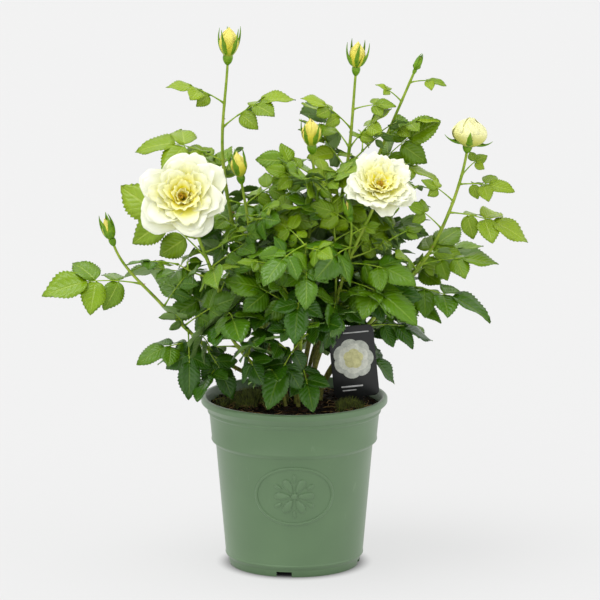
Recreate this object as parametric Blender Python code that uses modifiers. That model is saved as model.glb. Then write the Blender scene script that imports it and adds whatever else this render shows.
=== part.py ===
# A young patio rose in its nursery pot: compost, plant label, canes from one crown at soil level,
# masses of compound leaves on them, open roses and buds.
# Front towards -Y, +Z up, origin at the middle of the pot's underside. Sizes are in millimetres
# until an object is made, and every object is in metres.

import bisect
import math
import random

import bmesh
import bpy
from mathutils import Matrix, Vector, noise
from mathutils.bvhtree import BVHTree

MM = 0.001
UP = Vector((0, 0, 1))
GAP = 0.3                  # between pieces that touch
COLLECTION = "potted_rose_bush"

# Pot: turned shell, radius and height of each corner
TURNED_STEPS = 32
INNER_FLOOR = 7.8
UNDERSIDE = 5.8
POT_INSIDE = ((0, INNER_FLOOR), (64, INNER_FLOOR), (67.6, 10.5), (78.1, 125), (82.1, 130.5), (84.4, 158),
              (88.8, 170.5), (90.5, 174.6))
POT_OUTSIDE = ((93.5, 174.6), (95, 173), (95, 168.5), (88, 161), (87, 159.3), (86.3, 157), (84, 129),
               (80.5, 126), (80, 124.5), (70.1, 10.5), (67.5, 7), (66.5, 0))
POT_BELOW = ((63, 0), (62.6, UNDERSIDE), (24, UNDERSIDE), (22, 0), (0, 0))
BODY_TOP = (80, 124.5)
BODY_FOOT = (70.1, 10.5)
NOTCH_SIZE = (18, 16, 5.6)     # along the radius, across it, high
NOTCH_START = -99              # degrees, the first of four
NOTCH_RING = 65
DRAIN_RADIUS = 5
DRAIN_SIDES = 10
DRAIN_RING = 44
DRAIN_TURN = 45                # degrees from a notch to the next drain hole
OVAL_SIZE = (40, 29.5)         # half width and half height of the raised oval
OVAL_HEIGHT = 87
OVAL_POINTS = 20
OVAL_WIRE = 1.1
PETALS_ON_OVAL = 6
PETAL_RELIEF = (8, 4, 1.4)     # half length, half width, depth of one raised petal
PETAL_RING = 12

# Compost: turned fill, bumpy on top but flat where the canes stand
SOIL = 168
SOIL_EDGE = 164.5
WALL_CLEARANCE = 0.35
SOIL_TOP = ((0, SOIL), (33, SOIL), (52, 166.5), (70, 165.5), (86.3, SOIL_EDGE))
SOIL_BUMP = 1.6
SOIL_GRAIN = 14                # across one bump
SOIL_FLAT = (35, 80)           # inside the first radius and outside the second it isn't bumpy
MOSS_MOUNDS = ((-46, -18, 18, 6), (56, -30, 14, 4))      # x, y, radius, height

# Plant label: a card on a stake
CARD = (46, 74)
CARD_CORNER = 6
CARD_CORNER_STEPS = 3
STAKE = (12, 58)
STAKE_POINT = 0.8              # of its depth, where the point begins
CARD_THICK = 0.8
CARD_FOOT = (64, -14, 176)
CARD_LEAN = -5.7

# Canes and stems
CANE_SIDES = 1                 # bevel resolution: six sides
STEM_SIDES = 0                 # four sides
CANE_POINTS = 5
STEM_POINTS = 8
COLLAR = 3                     # a cane is straight for this far at the soil, and at its tip
CANE_FLARE = 1.15              # how much thicker it is at the soil

# A compound leaf, in shares of its length from the stem to its tip
FIRST_PAIR = 0.24
SECOND_PAIR = 0.44
SINGLE_PAIR = 0.48
LEAFLET_SEAT = 3.4             # width of a leaflet's root on the midrib
LATERAL_LENGTH = (0.30, 0.36)
LATERAL_WIDTH = 0.7            # of the leaflet's own length
LATERAL_SPREAD = (72, 66)      # degrees from the midrib
LATERAL_HANG = (38, 12)        # degrees down from the midrib's plane
TERMINAL_WIDTH = 0.28          # of the whole leaf
TERMINAL_RINGS = ((0.44, 0.9), (0.7, 0.92))      # share of the leaflet, share of its width
WIDEST = 0.45                  # of a leaflet's length
LEAFLET_THICK = 1.0
LEAFLET_FOLD = 0.14
FACE_OUT = 45                  # degrees that a leaf turns its upper side to the outside
FRONT_TURN = 30                # degrees that a leaf which stands out turns to the front, or the back
BACK_HALF = 45                 # from here on it turns to the back
MIDRIB_RADIUS = (0.95, 0.75)
SMALL_LEAF = 50                # a shorter leaf has one pair of leaflets
CLEARANCE = 0.45               # kept round a leaf on all sides
LEAF_ARCH = (0.08, 0.2)        # rise of its middle, as a share of its length
OUTLINE_TWIST = 12             # degrees, at most, for a leaf that stands out of the crown
OUTLINE_TRIES = ((0, 1), (-7, 0.97), (7, 0.97), (-14, 0.92), (14, 0.92), (0, 0.8))   # turn, size
GOLDEN_ANGLE = 137.5           # from one leaf by rule to the next
RULE_TRIES = 7
RULE_PLACE = (0.2, 0.8)        # where in its own stretch of the cane a leaf grows
RULE_TURN = (12, 25)           # degrees off its angle: at the first try, and more at each later one
RULE_RISE = (-12, 38)
RULE_TWIST = 30
RULE_LENGTH = (78, 98)
RULE_SHRINK = 0.05             # of its length, at each later try
LOWEST = 150                   # leaves hang no lower beside the pot
DEEPEST = 205                  # and reach no farther back or forward

# Each cane: foot on the soil, knee, shoulder and tip, thickness at both ends, the share that is
# bare, the leaves that stand out of the crown (share, azimuth, rise, length), and the others by
# rule: how many, between which shares, from which seed.
CANES = {
    "low_left": dict(
        foot=(-24, -6), knee=(-80, -25, 222), shoulder=(-135, -45, 280), tip=(-181, -59, 343),
        face=(-0.3, -0.1, 0.95), thick=(3.2, 1.8), bare=0.24,
        leaves=((0.79, -168, -3, 102), (0.65, 30, 45, 60), (0.95, -10, 20, 56), (0.86, 25, 5, 48),
                (0.43, -155, -10, 72), (0.35, -138, -5, 76), (0.29, -115, -22, 72), (0.5, -125, 40, 52)),
        rule=(2, 0.28, 0.6, 3)),
    "tall_left": dict(
        foot=(-16, 8), knee=(-50, 20, 290), shoulder=(-72, 10, 414), tip=(-67, 0, 518),
        thick=(3.6, 1.8), bare=0.2,
        leaves=((0.88, -170, 20, 63), (0.81, 8, 24, 80), (0.71, 165, 8, 95)),
        rule=(7, 0.24, 0.64, 5)),
    "rose_left": dict(
        foot=(-18, -18), knee=(-60, -35, 249), shoulder=(-84, -48, 316), tip=(-110, -58, 386),
        face=(-0.05, -0.92, 0.38), thick=(3.4, 2.0), bare=0.25,
        leaves=((0.72, 155, 34, 118), (0.68, 165, 24, 104), (0.62, -160, 48, 64), (0.56, -35, 58, 50)),
        rule=(5, 0.28, 0.7, 7)),
    "mid_left": dict(
        foot=(-8, -3), knee=(-40, -20, 278), shoulder=(-45, -30, 350), tip=(-53, -35, 402),
        thick=(3.0, 1.8), bare=0.2, leaves=((0.9, 20, 25, 60), (0.82, -60, 10, 62)),
        rule=(7, 0.26, 0.85, 11)),
    "centre": dict(
        foot=(2, -12), knee=(5, -12, 276), shoulder=(20, -20, 381), tip=(18, -25, 431),
        thick=(3.4, 1.8), bare=0.25, leaves=((0.96, 180, 30, 84), (0.9, -165, 20, 64), (0.86, -20, 22, 62)),
        rule=(8, 0.28, 0.88, 13)),
    "tall_centre": dict(
        foot=(8, 5), knee=(40, 20, 332), shoulder=(55, 18, 420), tip=(62, 10, 505),
        thick=(3.8, 1.8), bare=0.25,
        leaves=((0.83, -168, 36, 62), (0.89, 0, 6, 44), (0.77, -14, 45, 62)),
        rule=(8, 0.28, 0.72, 17)),
    "tall_right": dict(
        foot=(18, 12), knee=(57, 22, 342), shoulder=(85, 35, 415), tip=(121, 30, 502),
        thick=(3.4, 1.8), bare=0.28,
        leaves=((0.97, 0, -4, 38), (0.91, 180, 35, 32), (0.8, -11, 18, 58), (0.72, -9, -14, 68)),
        rule=(7, 0.3, 0.72, 19)),
    "far_right": dict(
        foot=(26, -2), knee=(87, 0, 263), shoulder=(140, -8, 330), tip=(174, -15, 431),
        face=(0.12, -0.2, 0.97), thick=(3.6, 1.9), bare=0.18,
        leaves=((0.91, 20, 35, 34), (0.88, -10, -4, 57), (0.78, -7, -17, 86), (0.82, -170, 36, 40),
                (0.72, -163, 38, 46), (0.58, -11, 4, 80), (0.49, -12, -17, 98), (0.43, -24, -20, 60),
                (0.23, -6, -44, 70)),
        rule=(4, 0.22, 0.65, 23)),
    "rose_right": dict(
        foot=(15, -18), knee=(39, -30, 264), shoulder=(54, -42, 320), tip=(84, -54, 393),
        face=(0.1, -0.72, 0.69), thick=(3.4, 2.0), bare=0.3,
        leaves=((0.58, -32, -30, 98), (0.66, -25, -7, 82), (0.46, -104, -42, 52), (0.8, -175, 30, 60)),
        rule=(6, 0.33, 0.85, 29)),
    "back_left": dict(
        foot=(-10, 20), knee=(-40, 55, 265), shoulder=(-60, 80, 318), tip=(-75, 95, 358),
        thick=(3.2, 1.8), bare=0.28, leaves=((0.9, 120, 15, 80), (0.8, 175, 5, 78)),
        rule=(5, 0.32, 0.85, 31)),
    "back": dict(
        foot=(1, 16), knee=(2, 60, 270), shoulder=(5, 90, 335), tip=(5, 108, 385),
        thick=(3.2, 1.8), bare=0.3, leaves=((0.97, 95, 10, 80),),
        rule=(6, 0.35, 0.9, 37)),
    "back_right": dict(
        foot=(12, 24), knee=(40, 60, 270), shoulder=(62, 85, 322), tip=(75, 100, 361),
        thick=(3.2, 1.8), bare=0.28, leaves=((0.9, 60, 15, 80), (0.8, 10, 0, 78)),
        rule=(5, 0.32, 0.85, 41)),
    "low_right": dict(
        foot=(27, 10), knee=(65, 35, 225), shoulder=(100, 58, 265), tip=(130, 75, 300),
        thick=(2.8, 1.8), bare=0.3, leaves=((0.97, 20, 0, 80), (0.75, 65, -10, 82)),
        rule=(4, 0.35, 0.85, 43)),
    "low_back_left": dict(
        foot=(-24, 12), knee=(-60, 35, 220), shoulder=(-88, 58, 255), tip=(-110, 75, 290),
        thick=(2.8, 1.8), bare=0.3, leaves=((0.97, 155, -5, 76), (0.75, 110, -15, 80)),
        rule=(4, 0.35, 0.85, 47)),
    "low_back": dict(
        foot=(2, 28), knee=(8, 70, 225), shoulder=(10, 105, 252), tip=(12, 128, 284),
        face=(0.05, 0.75, 0.66), thick=(2.8, 2.0), bare=0.3,
        leaves=((0.8, 60, -8, 80), (0.7, 130, -12, 82)),
        rule=(3, 0.35, 0.8, 53)),
    "front": dict(
        foot=(4, -26), knee=(6, -50, 225), shoulder=(8, -75, 290), tip=(12, -90, 350),
        thick=(2.8, 1.8), bare=0.2,
        leaves=((0.9, -143, 10, 56), (0.97, -60, 0, 50), (0.43, -130, -48, 82), (0.52, -150, -2, 70),
                (0.3, -75, -38, 66), (0.98, 150, 25, 58)),
        rule=(5, 0.3, 0.9, 59)),
    "low_front": dict(
        foot=(-9, -27), knee=(-32, -48, 215), shoulder=(-55, -68, 240), tip=(-75, -82, 262),
        thick=(2.6, 1.8), bare=0.3, leaves=((0.97, -150, -10, 60), (0.7, -70, -25, 60)),
        rule=(3, 0.4, 0.95, 61)),
}

# Open roses: which cane bears each, its radius and its depth
ROSES = {
    "rose_bloom_left": ("rose_left", 46, 30),
    "rose_bloom_right": ("rose_right", 37, 24),
    "rose_bloom_back": ("low_back", 34, 22),
}
ROSE_SIDES = 16
RIM_LIFT = 0.6                 # how high a petal's rim waves, as a share of how far out it waves
# radius and height as shares, wave of the rim as a share, petals in that whorl, their turn
ROSE_RINGS = ((0.05, -0.55, 0, 5, 0), (0.13, -0.42, 0, 5, 0), (0.12, -0.3, 0, 5, 0),
              (0.62, -0.08, 0.02, 5, 0), (1.0, 0.12, 0.08, 5, 0), (0.86, 0.24, 0.04, 5, 0),
              (0.7, 0.2, 0.02, 5, 36), (0.74, 0.5, 0.06, 5, 36), (0.52, 0.46, 0.03, 5, 36),
              (0.5, 0.68, 0.05, 5, 72), (0.3, 0.56, 0.02, 5, 72))
ROSE_HEART = 0.62
ROSE_LIFT = 0.55               # of its depth, from the stem's tip to the level that the rings start from

# The half-open rose: a cup on spread sepals
HALF_OPEN = dict(cane="far_right", radius=17, height=33)
HALF_OPEN_RINGS = ((0.12, 0, 0, 5, 0), (0.3, 0.1, 0, 5, 0), (0.28, 0.2, 0, 5, 0), (0.8, 0.36, 0.03, 5, 0),
                   (1.0, 0.62, 0.08, 5, 0), (0.94, 0.84, 0.1, 5, 20), (0.66, 0.9, 0.08, 5, 20),
                   (0.55, 1.0, 0.06, 5, 50))
HALF_OPEN_HEART = 0.86
HALF_OPEN_SIDES = 12

# Buds: which cane bears each, its length, radius and turn about its stem
BUDS = {
    "bud_low_left": ("low_left", 33, 7.5, 25),
    "bud_tall_left": ("tall_left", 36, 9, 70),
    "bud_mid_left": ("mid_left", 31, 8, 100),
    "bud_centre": ("centre", 34, 9.2, 40),
    "bud_tall_centre": ("tall_centre", 33, 7.4, 85),
    "bud_tall_right": ("tall_right", 22, 4, 10),
    "bud_back_left": ("back_left", 30, 7.5, 50),
    "bud_back_right": ("back_right", 30, 7.5, 115),
}
BUD_SIDES = 6
BUD_RINGS = ((0.24, 0), (0.55, 0.1), (0.5, 0.2), (0.95, 0.38), (1.0, 0.55), (0.72, 0.8))
SEPAL_RING = 2                 # the ring that the sepals grow from
SEPAL_NARROW = 0.4             # how far its first ring draws in
SEPAL_STAND = 0.28             # of the bud's radius, how far that ring stands off
SEPAL_SPREAD = 0.7             # of the bud's radius, how far its tip stands off
SEPAL_LENGTH = 0.6             # of the bud


def clear_scene():
    for item in list(bpy.data.objects):
        bpy.data.objects.remove(item, do_unlink=True)


def make_collection(name):
    collection = bpy.data.collections.new(name)
    bpy.context.scene.collection.children.link(collection)
    return collection


def principled(name, colour, roughness, metallic=0.0):
    material = bpy.data.materials.new(name)
    material.use_nodes = True
    shader = material.node_tree.nodes["Principled BSDF"]
    shader.inputs["Base Color"].default_value = (*colour, 1)
    shader.inputs["Roughness"].default_value = roughness
    shader.inputs["Metallic"].default_value = metallic
    return material


def direction(azimuth, rise):
    a, r = math.radians(azimuth), math.radians(rise)
    return Vector((math.cos(a) * math.cos(r), math.sin(a) * math.cos(r), math.sin(r)))


# ---- shaping in millimetres ----

class Route:
    """A smooth curve through a cane's foot, knee, shoulder and tip, upright where it leaves the soil."""

    SPANS = 40

    def __init__(self, plan):
        corners = [Vector((*plan["foot"], SOIL + GAP))]
        corners += [Vector(plan[name]) for name in ("knee", "shoulder", "tip")]
        last = corners[3] - corners[2]
        end = Vector(plan["face"]).normalized() * last.length if "face" in plan else last
        pulls = [UP * (corners[1] - corners[0]).length, (corners[2] - corners[0]) / 2,
                 (corners[3] - corners[1]) / 2, end]
        self.points = []
        for start in range(3):
            for step in range(self.SPANS):
                self.points.append(self.blend(corners, pulls, start, step / self.SPANS))
        self.points.append(corners[3])
        self.runs = [0.0]
        for a, b in zip(self.points, self.points[1:]):
            self.runs.append(self.runs[-1] + (b - a).length)
        self.length = self.runs[-1]

    @staticmethod
    def blend(corners, pulls, start, u):
        """Cubic Hermite blend between two neighbouring corners."""
        return ((2 * u**3 - 3 * u * u + 1) * corners[start] + (u**3 - 2 * u * u + u) * pulls[start]
                + (3 * u * u - 2 * u**3) * corners[start + 1] + (u**3 - u * u) * pulls[start + 1])

    def at(self, share):
        run = min(max(share, 0), 1) * self.length
        i = min(max(bisect.bisect(self.runs, run) - 1, 0), len(self.points) - 2)
        part = (run - self.runs[i]) / (self.runs[i + 1] - self.runs[i])
        return self.points[i].lerp(self.points[i + 1], part)

    def heading(self, share):
        step = 0.01
        return (self.at(min(share + step, 1)) - self.at(max(share - step, 0))).normalized()


def radius_at(plan, share):
    low, high = plan["thick"]
    return low + (high - low) * share


def draw_out(bm, corners, targets):
    """Extrudes the face on these corners and sets the new corners on the targets."""
    face = bm.faces.get(corners)
    fresh = bmesh.ops.extrude_discrete_faces(bm, faces=[face])["faces"][0]
    moved = [min(fresh.verts, key=lambda v, c=c: (v.co - c.co).length_squared) for c in corners]
    for vert, target in zip(moved, targets):
        vert.co = target
    return moved


def close_to_point(bm, corners, target):
    """Turns the end face into a fan that meets at the target."""
    centre = bmesh.ops.poke(bm, faces=[bm.faces.get(corners)])["verts"][0]
    centre.co = target


def first_length(bm, ring, following):
    """A closed prism between two rings with the same number of corners."""
    sides = len(ring)
    made = bmesh.ops.create_cone(bm, cap_ends=True, segments=sides, radius1=1, radius2=1, depth=2)["verts"]
    ends = []
    for height, targets in ((-1, ring), (1, following)):
        verts = [v for v in made if v.co.z * height > 0]
        verts.sort(key=lambda v: math.atan2(v.co.y, v.co.x) % (2 * math.pi))
        ends.append((verts, targets))
    for verts, targets in ends:
        for vert, target in zip(verts, targets):
            vert.co = target
    return ends[0][0], ends[1][0]


def split_faces(bm):
    """Splits every twisted face the same way, so that all tests see the same surface."""
    bmesh.ops.triangulate(bm, faces=bm.faces, quad_method="BEAUTY")
    return bm


def blade_ring(place, across, normal, width, thick, fold):
    """Bottom, front edge, top and back edge of a leaflet at one place."""
    lift = normal * fold * width / 2
    return (place - normal * thick / 2, place + across * width / 2 + lift,
            place + normal * thick / 2, place - across * width / 2 + lift)


class Leaf:
    """A compound leaf: an arching midrib, pairs of leaflets and one at the end."""

    def __init__(self, base, azimuth, rise, length, arch, roll, small):
        chord = direction(azimuth, rise) * length
        self.ends = base, base + chord / 2 + UP * arch * length, base + chord
        self.length = length
        outward = (base + chord / 2) * Vector((1, 1, 0))
        across = UP.cross(chord).normalized()
        self.roll = math.radians(roll - FACE_OUT * across.dot(outward.normalized()))
        self.pairs = (SINGLE_PAIR,) if small else (FIRST_PAIR, SECOND_PAIR)

    def at(self, share):
        a, b, c = self.ends
        return a * (1 - share)**2 + b * 2 * share * (1 - share) + c * share**2

    def frame(self, share):
        """Forward, left and the upper side's normal."""
        a, b, c = self.ends
        forward = ((b - a) * (1 - share) + (c - b) * share).normalized()
        left = UP.cross(forward).normalized()
        turn = Matrix.Rotation(self.roll, 3, forward)
        left = turn @ left
        return forward, left, forward.cross(left)

    def rib_ring(self, share, swell):
        forward, left, normal = self.frame(share)
        low, high = MIDRIB_RADIUS
        radius = low + (high - low) * share + swell
        place = self.at(share)
        return [place + (left * math.cos(a) + normal * math.sin(a)) * radius
                for a in (math.radians(d) for d in (90, 210, 330))]

    def lateral(self, bm, corners, share, hand, form, swell):
        """One leaflet drawn out of the side of the midrib, hand 1 on the left and -1 on the right."""
        forward, left, normal = self.frame(share)
        size, spread, hang = form
        spread, hang = math.radians(spread), math.radians(hang)
        side = left * hand * math.cos(hang) - normal * math.sin(hang)
        axis = forward * math.cos(spread) + side * math.sin(spread)
        across = forward * math.sin(spread) - side * math.cos(spread)
        normal = across.cross(axis) * hand
        length = self.length * size
        place = self.at(share) + axis * length * WIDEST
        width = length * LATERAL_WIDTH + 2 * swell
        ring = blade_ring(place, across, normal, width, LEAFLET_THICK + 2 * swell, LEAFLET_FOLD)
        corners = draw_out(bm, corners, ring)
        close_to_point(bm, corners, self.at(share) + axis * (length + swell))

    def build(self, swell=0.0):
        bm = bmesh.new()
        seat = LEAFLET_SEAT / 2 / self.length
        shares = [0.0]
        for pair in self.pairs:
            shares += [pair - seat, pair + seat]
        rings = list(first_length(bm, self.rib_ring(0, swell), self.rib_ring(shares[1], swell)))
        for share in shares[2:]:
            rings.append(draw_out(bm, rings[-1], self.rib_ring(share, swell)))
        self.terminal(bm, rings[-1], shares[-1], swell)
        forms = list(zip(LATERAL_LENGTH, LATERAL_SPREAD, LATERAL_HANG))[-len(self.pairs):]
        for number, (pair, form) in enumerate(zip(self.pairs, forms)):
            near, far = rings[2 * number + 1], rings[2 * number + 2]
            left = (near[2], far[2], far[0], near[0])
            right = (near[1], far[1], far[0], near[0])
            self.lateral(bm, left, pair, 1, form, swell)
            self.lateral(bm, right, pair, -1, form, swell)
        return split_faces(bm)

    def terminal(self, bm, corners, start, swell):
        for part, width in TERMINAL_RINGS:
            share = start + (1 - start) * part
            forward, left, normal = self.frame(share)
            place = self.at(share)
            half = self.length * TERMINAL_WIDTH * width / 2 + swell
            ring = (place + normal * (LEAFLET_THICK + swell), place - left * half - normal * swell,
                    place + left * half - normal * swell)
            corners = draw_out(bm, corners, ring)
        close_to_point(bm, corners, self.at(1) + forward * swell)


def lobed_ring(frame, radius, height, wave, petals, turn, sides):
    """A ring of corners about an axis, swelling towards each petal's middle."""
    ring = []
    for number in range(sides):
        angle = 2 * math.pi * number / sides
        lobe = math.cos(petals * (angle - math.radians(turn)))
        reach = radius * (1 + wave * lobe)
        lift = height + radius * wave * RIM_LIFT * math.sin(3 * angle + math.radians(turn))
        ring.append(frame @ Vector((reach * math.cos(angle), reach * math.sin(angle), lift)))
    return ring


def axis_frame(place, axis):
    """A frame standing at a place with its Z along the axis."""
    turn = axis.to_track_quat("Z", "Y").to_matrix().to_4x4()
    return Matrix.Translation(place) @ turn


def turned_bloom(rings, heart):
    """A closed flower body from its foot to its heart, with its rings of corners."""
    bm = bmesh.new()
    made = list(first_length(bm, rings[0], rings[1]))
    for ring in rings[2:]:
        made.append(draw_out(bm, made[-1], ring))
    close_to_point(bm, made[-1], heart)
    return bm, made


def bloom_shape(route, radius, depth, table, heart, sides, lift):
    """An open or half-open rose on the tip of its cane."""
    axis = route.heading(1)
    frame = axis_frame(route.at(1) + axis * GAP, axis)
    rings = [lobed_ring(frame, radius * r, depth * (h + lift), wave, petals, turn, sides)
             for r, h, wave, petals, turn in table]
    return split_faces(turned_bloom(rings, frame @ Vector((0, 0, depth * (heart + lift))))[0])


def bud_shape(route, length, radius, turn):
    """A pointed bud on its hip, with every other side of the calyx drawn out into a sepal."""
    axis = route.heading(1)
    frame = axis_frame(route.at(1) + axis * GAP, axis)
    frame = frame @ Matrix.Rotation(math.radians(turn), 4, "Z")
    rings = [lobed_ring(frame, radius * r, length * h, 0, 1, 0, BUD_SIDES) for r, h in BUD_RINGS]
    bm, made = turned_bloom(rings, frame @ Vector((0, 0, length)))
    low, high = made[SEPAL_RING], made[SEPAL_RING + 1]
    for side in range(0, BUD_SIDES, 2):
        corners = (low[side], low[side + 1], high[side + 1], high[side])
        middle = sum((v.co for v in corners), Vector()) / 4
        outward = (middle - frame.translation - axis * (middle - frame.translation).dot(axis)).normalized()
        narrow = [v.co.lerp(middle, SEPAL_NARROW) + outward * radius * SEPAL_STAND for v in corners]
        corners = draw_out(bm, corners, narrow)
        close_to_point(bm, corners, middle + outward * radius * SEPAL_SPREAD + axis * length * SEPAL_LENGTH)
    return split_faces(bm)


# ---- keeping pieces clear of each other ----

class Room:
    """What stands in the crown so far, and whether another piece would touch it."""

    def __init__(self):
        self.taken = []

    def add(self, bm, owner=None):
        self.taken.append((*self.bounds(bm), BVHTree.FromBMesh(bm), owner))

    @staticmethod
    def bounds(bm):
        places = [v.co for v in bm.verts]
        return ([min(p[i] for p in places) for i in range(3)], [max(p[i] for p in places) for i in range(3)])

    def clear(self, bm, stem):
        """Whether a shape touches nothing but the stem that it grows from."""
        low, high = self.bounds(bm)
        tree = BVHTree.FromBMesh(bm)
        for other_low, other_high, other, owner in self.taken:
            near = all(low[i] <= other_high[i] and high[i] >= other_low[i] for i in range(3))
            if near and owner != stem and tree.overlap(other):
                return False
        return True


def crosses_itself(bm):
    tree = BVHTree.FromBMesh(bm)
    return bool(tree.overlap(tree))


def in_millimetres(item):
    """The evaluated mesh of an object, in millimetres."""
    graph = bpy.context.evaluated_depsgraph_get()
    mesh = bpy.data.meshes.new_from_object(item.evaluated_get(graph))
    bm = bmesh.new()
    bm.from_mesh(mesh)
    bpy.data.meshes.remove(mesh)
    bm.transform(Matrix.Scale(1 / MM, 4) @ item.matrix_world)
    return bm


# ---- making objects in metres ----

def make_object(name, bm, material, collection, smooth=None):
    """Moves a finished shape into an object, in metres."""
    bm.transform(Matrix.Scale(MM, 4))
    bmesh.ops.recalc_face_normals(bm, faces=bm.faces)
    mesh = bpy.data.meshes.new(name)
    bm.to_mesh(mesh)
    bm.free()
    if smooth is not None:
        mesh.shade_smooth()
        mesh.set_sharp_from_angle(angle=math.radians(smooth))
    item = bpy.data.objects.new(name, mesh)
    item.data.materials.append(material)
    collection.objects.link(item)
    return item


def curve_tube(name, places, radii, resolution, material, collection):
    """A tapering tube with filled caps."""
    data = bpy.data.curves.new(name, "CURVE")
    data.dimensions = "3D"
    data.bevel_depth = MM
    data.bevel_resolution = resolution
    data.use_fill_caps = True
    spline = data.splines.new("POLY")
    spline.points.add(len(places) - 1)
    for point, place, radius in zip(spline.points, places, radii):
        point.co = (*(place * MM), 1)
        point.radius = radius
    item = bpy.data.objects.new(name, data)
    data.materials.append(material)
    collection.objects.link(item)
    return item


def as_mesh(item, collection):
    """Makes a curve a closed mesh object with its caps welded."""
    bm = in_millimetres(item)
    bmesh.ops.remove_doubles(bm, verts=bm.verts, dist=0.001)
    name, material = item.name, item.data.materials[0]
    bpy.data.objects.remove(item, do_unlink=True)
    return make_object(name, bm, material, collection)


def turned(name, profile, material, collection):
    """A profile from axis to axis, turned about Z."""
    mesh = bpy.data.meshes.new(name)
    bm = bmesh.new()
    verts = [bm.verts.new((r * MM, 0, z * MM)) for r, z in profile]
    for a, b in zip(verts, verts[1:]):
        bm.edges.new((a, b))
    bm.to_mesh(mesh)
    bm.free()
    item = bpy.data.objects.new(name, mesh)
    collection.objects.link(item)
    mesh.materials.append(material)
    screw = item.modifiers.new("turn", "SCREW")
    screw.steps = TURNED_STEPS
    screw.render_steps = TURNED_STEPS
    screw.use_merge_vertices = True
    screw.merge_threshold = 0.00001
    return item


def apply_modifiers(item):
    """Replaces an object's mesh by its evaluated one."""
    graph = bpy.context.evaluated_depsgraph_get()
    mesh = bpy.data.meshes.new_from_object(item.evaluated_get(graph))
    item.modifiers.clear()
    item.data = mesh


def combine(item, others, operation):
    """One Boolean on a collection of objects, applied, and those objects removed."""
    helpers = make_collection(item.name + "_parts")
    for other in others:
        for owner in list(other.users_collection):
            owner.objects.unlink(other)
        helpers.objects.link(other)
    boolean = item.modifiers.new("combine", "BOOLEAN")
    boolean.operation = operation
    boolean.operand_type = "COLLECTION"
    boolean.collection = helpers
    boolean.solver = "EXACT"
    apply_modifiers(item)
    for other in others:
        bpy.data.objects.remove(other, do_unlink=True)
    bpy.data.collections.remove(helpers)


def keep_largest(item):
    """Drops loose scraps and fills sealed hollows: only the largest shell stays."""
    bm = bmesh.new()
    bm.from_mesh(item.data)
    bmesh.ops.remove_doubles(bm, verts=bm.verts, dist=0.000002)
    bmesh.ops.dissolve_degenerate(bm, edges=bm.edges, dist=0.000002)
    left = set(bm.verts)
    shells = []
    while left:
        shell, edge = set(), [left.pop()]
        while edge:
            vert = edge.pop()
            shell.add(vert)
            for link in vert.link_edges:
                other = link.other_vert(vert)
                if other in left:
                    left.remove(other)
                    edge.append(other)
        shells.append(shell)
    shells.sort(key=len)
    for shell in shells[:-1]:
        bmesh.ops.delete(bm, geom=list(shell), context="VERTS")
    bm.to_mesh(item.data)
    bm.free()


# ---- pot ----

def wall_frame(along, height):
    """A frame on the pot's front wall: X round the wall, Y up it, Z outward."""
    (top_radius, top), (foot_radius, foot) = BODY_TOP, BODY_FOOT
    slope = (top_radius - foot_radius) / (top - foot)
    radius = foot_radius + (height - foot) * slope
    angle = along / radius - math.pi / 2
    outward = Vector((math.cos(angle), math.sin(angle), -slope)).normalized()
    round_wall = Vector((-math.sin(angle), math.cos(angle), 0))
    up_wall = outward.cross(round_wall)
    frame = Matrix((round_wall, up_wall, outward)).transposed().to_4x4()
    return Matrix.Translation((radius * math.cos(angle), radius * math.sin(angle), height)) @ frame


def oval_relief(material, collection):
    """The raised oval on the pot's front, a closed tube half sunk in the wall."""
    data = bpy.data.curves.new("oval", "CURVE")
    data.dimensions = "3D"
    data.bevel_depth = OVAL_WIRE * MM
    data.bevel_resolution = 0
    spline = data.splines.new("POLY")
    spline.points.add(OVAL_POINTS - 1)
    spline.use_cyclic_u = True
    for number, point in enumerate(spline.points):
        angle = 2 * math.pi * number / OVAL_POINTS
        frame = wall_frame(OVAL_SIZE[0] * math.cos(angle), OVAL_HEIGHT + OVAL_SIZE[1] * math.sin(angle))
        point.co = (*(frame.translation * MM), 1)
    data.materials.append(material)
    item = bpy.data.objects.new("oval", data)
    collection.objects.link(item)
    return as_mesh(item, collection)


def rosette_relief(material, collection):
    """Plain raised petals in a ring inside the oval."""
    petals = []
    for number in range(PETALS_ON_OVAL):
        angle = 2 * math.pi * number / PETALS_ON_OVAL
        frame = wall_frame(PETAL_RING * math.cos(angle), OVAL_HEIGHT + PETAL_RING * math.sin(angle))
        bm = bmesh.new()
        bmesh.ops.create_uvsphere(bm, u_segments=4, v_segments=2, radius=1)
        size = Matrix.Diagonal((*PETAL_RELIEF, 1))
        bm.transform(frame @ Matrix.Rotation(angle, 4, "Z") @ size)
        petals.append(make_object(f"petal_{number}", bm, material, collection))
    return petals


def pot_cutters(material, collection):
    """Notches through the foot ring and drain holes through the floor."""
    cutters = []
    length, width, height = NOTCH_SIZE
    for number in range(4):
        turn = math.radians(NOTCH_START + 90 * number)
        bm = bmesh.new()
        bmesh.ops.create_cube(bm, size=1)
        bm.transform(Matrix.Rotation(turn, 4, "Z") @ Matrix.Translation((NOTCH_RING, 0, 0))
                     @ Matrix.Diagonal((length, width, 2 * height, 1)))
        cutters.append(make_object(f"notch_{number}", bm, material, collection))
        bm = bmesh.new()
        bmesh.ops.create_cone(bm, cap_ends=True, segments=DRAIN_SIDES, radius1=DRAIN_RADIUS,
                              radius2=DRAIN_RADIUS, depth=3 * (INNER_FLOOR - UNDERSIDE))
        turn += math.radians(DRAIN_TURN)
        bm.transform(Matrix.Translation((DRAIN_RING * math.cos(turn), DRAIN_RING * math.sin(turn),
                                         (INNER_FLOOR + UNDERSIDE) / 2)))
        cutters.append(make_object(f"drain_{number}", bm, material, collection))
    return cutters


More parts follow.
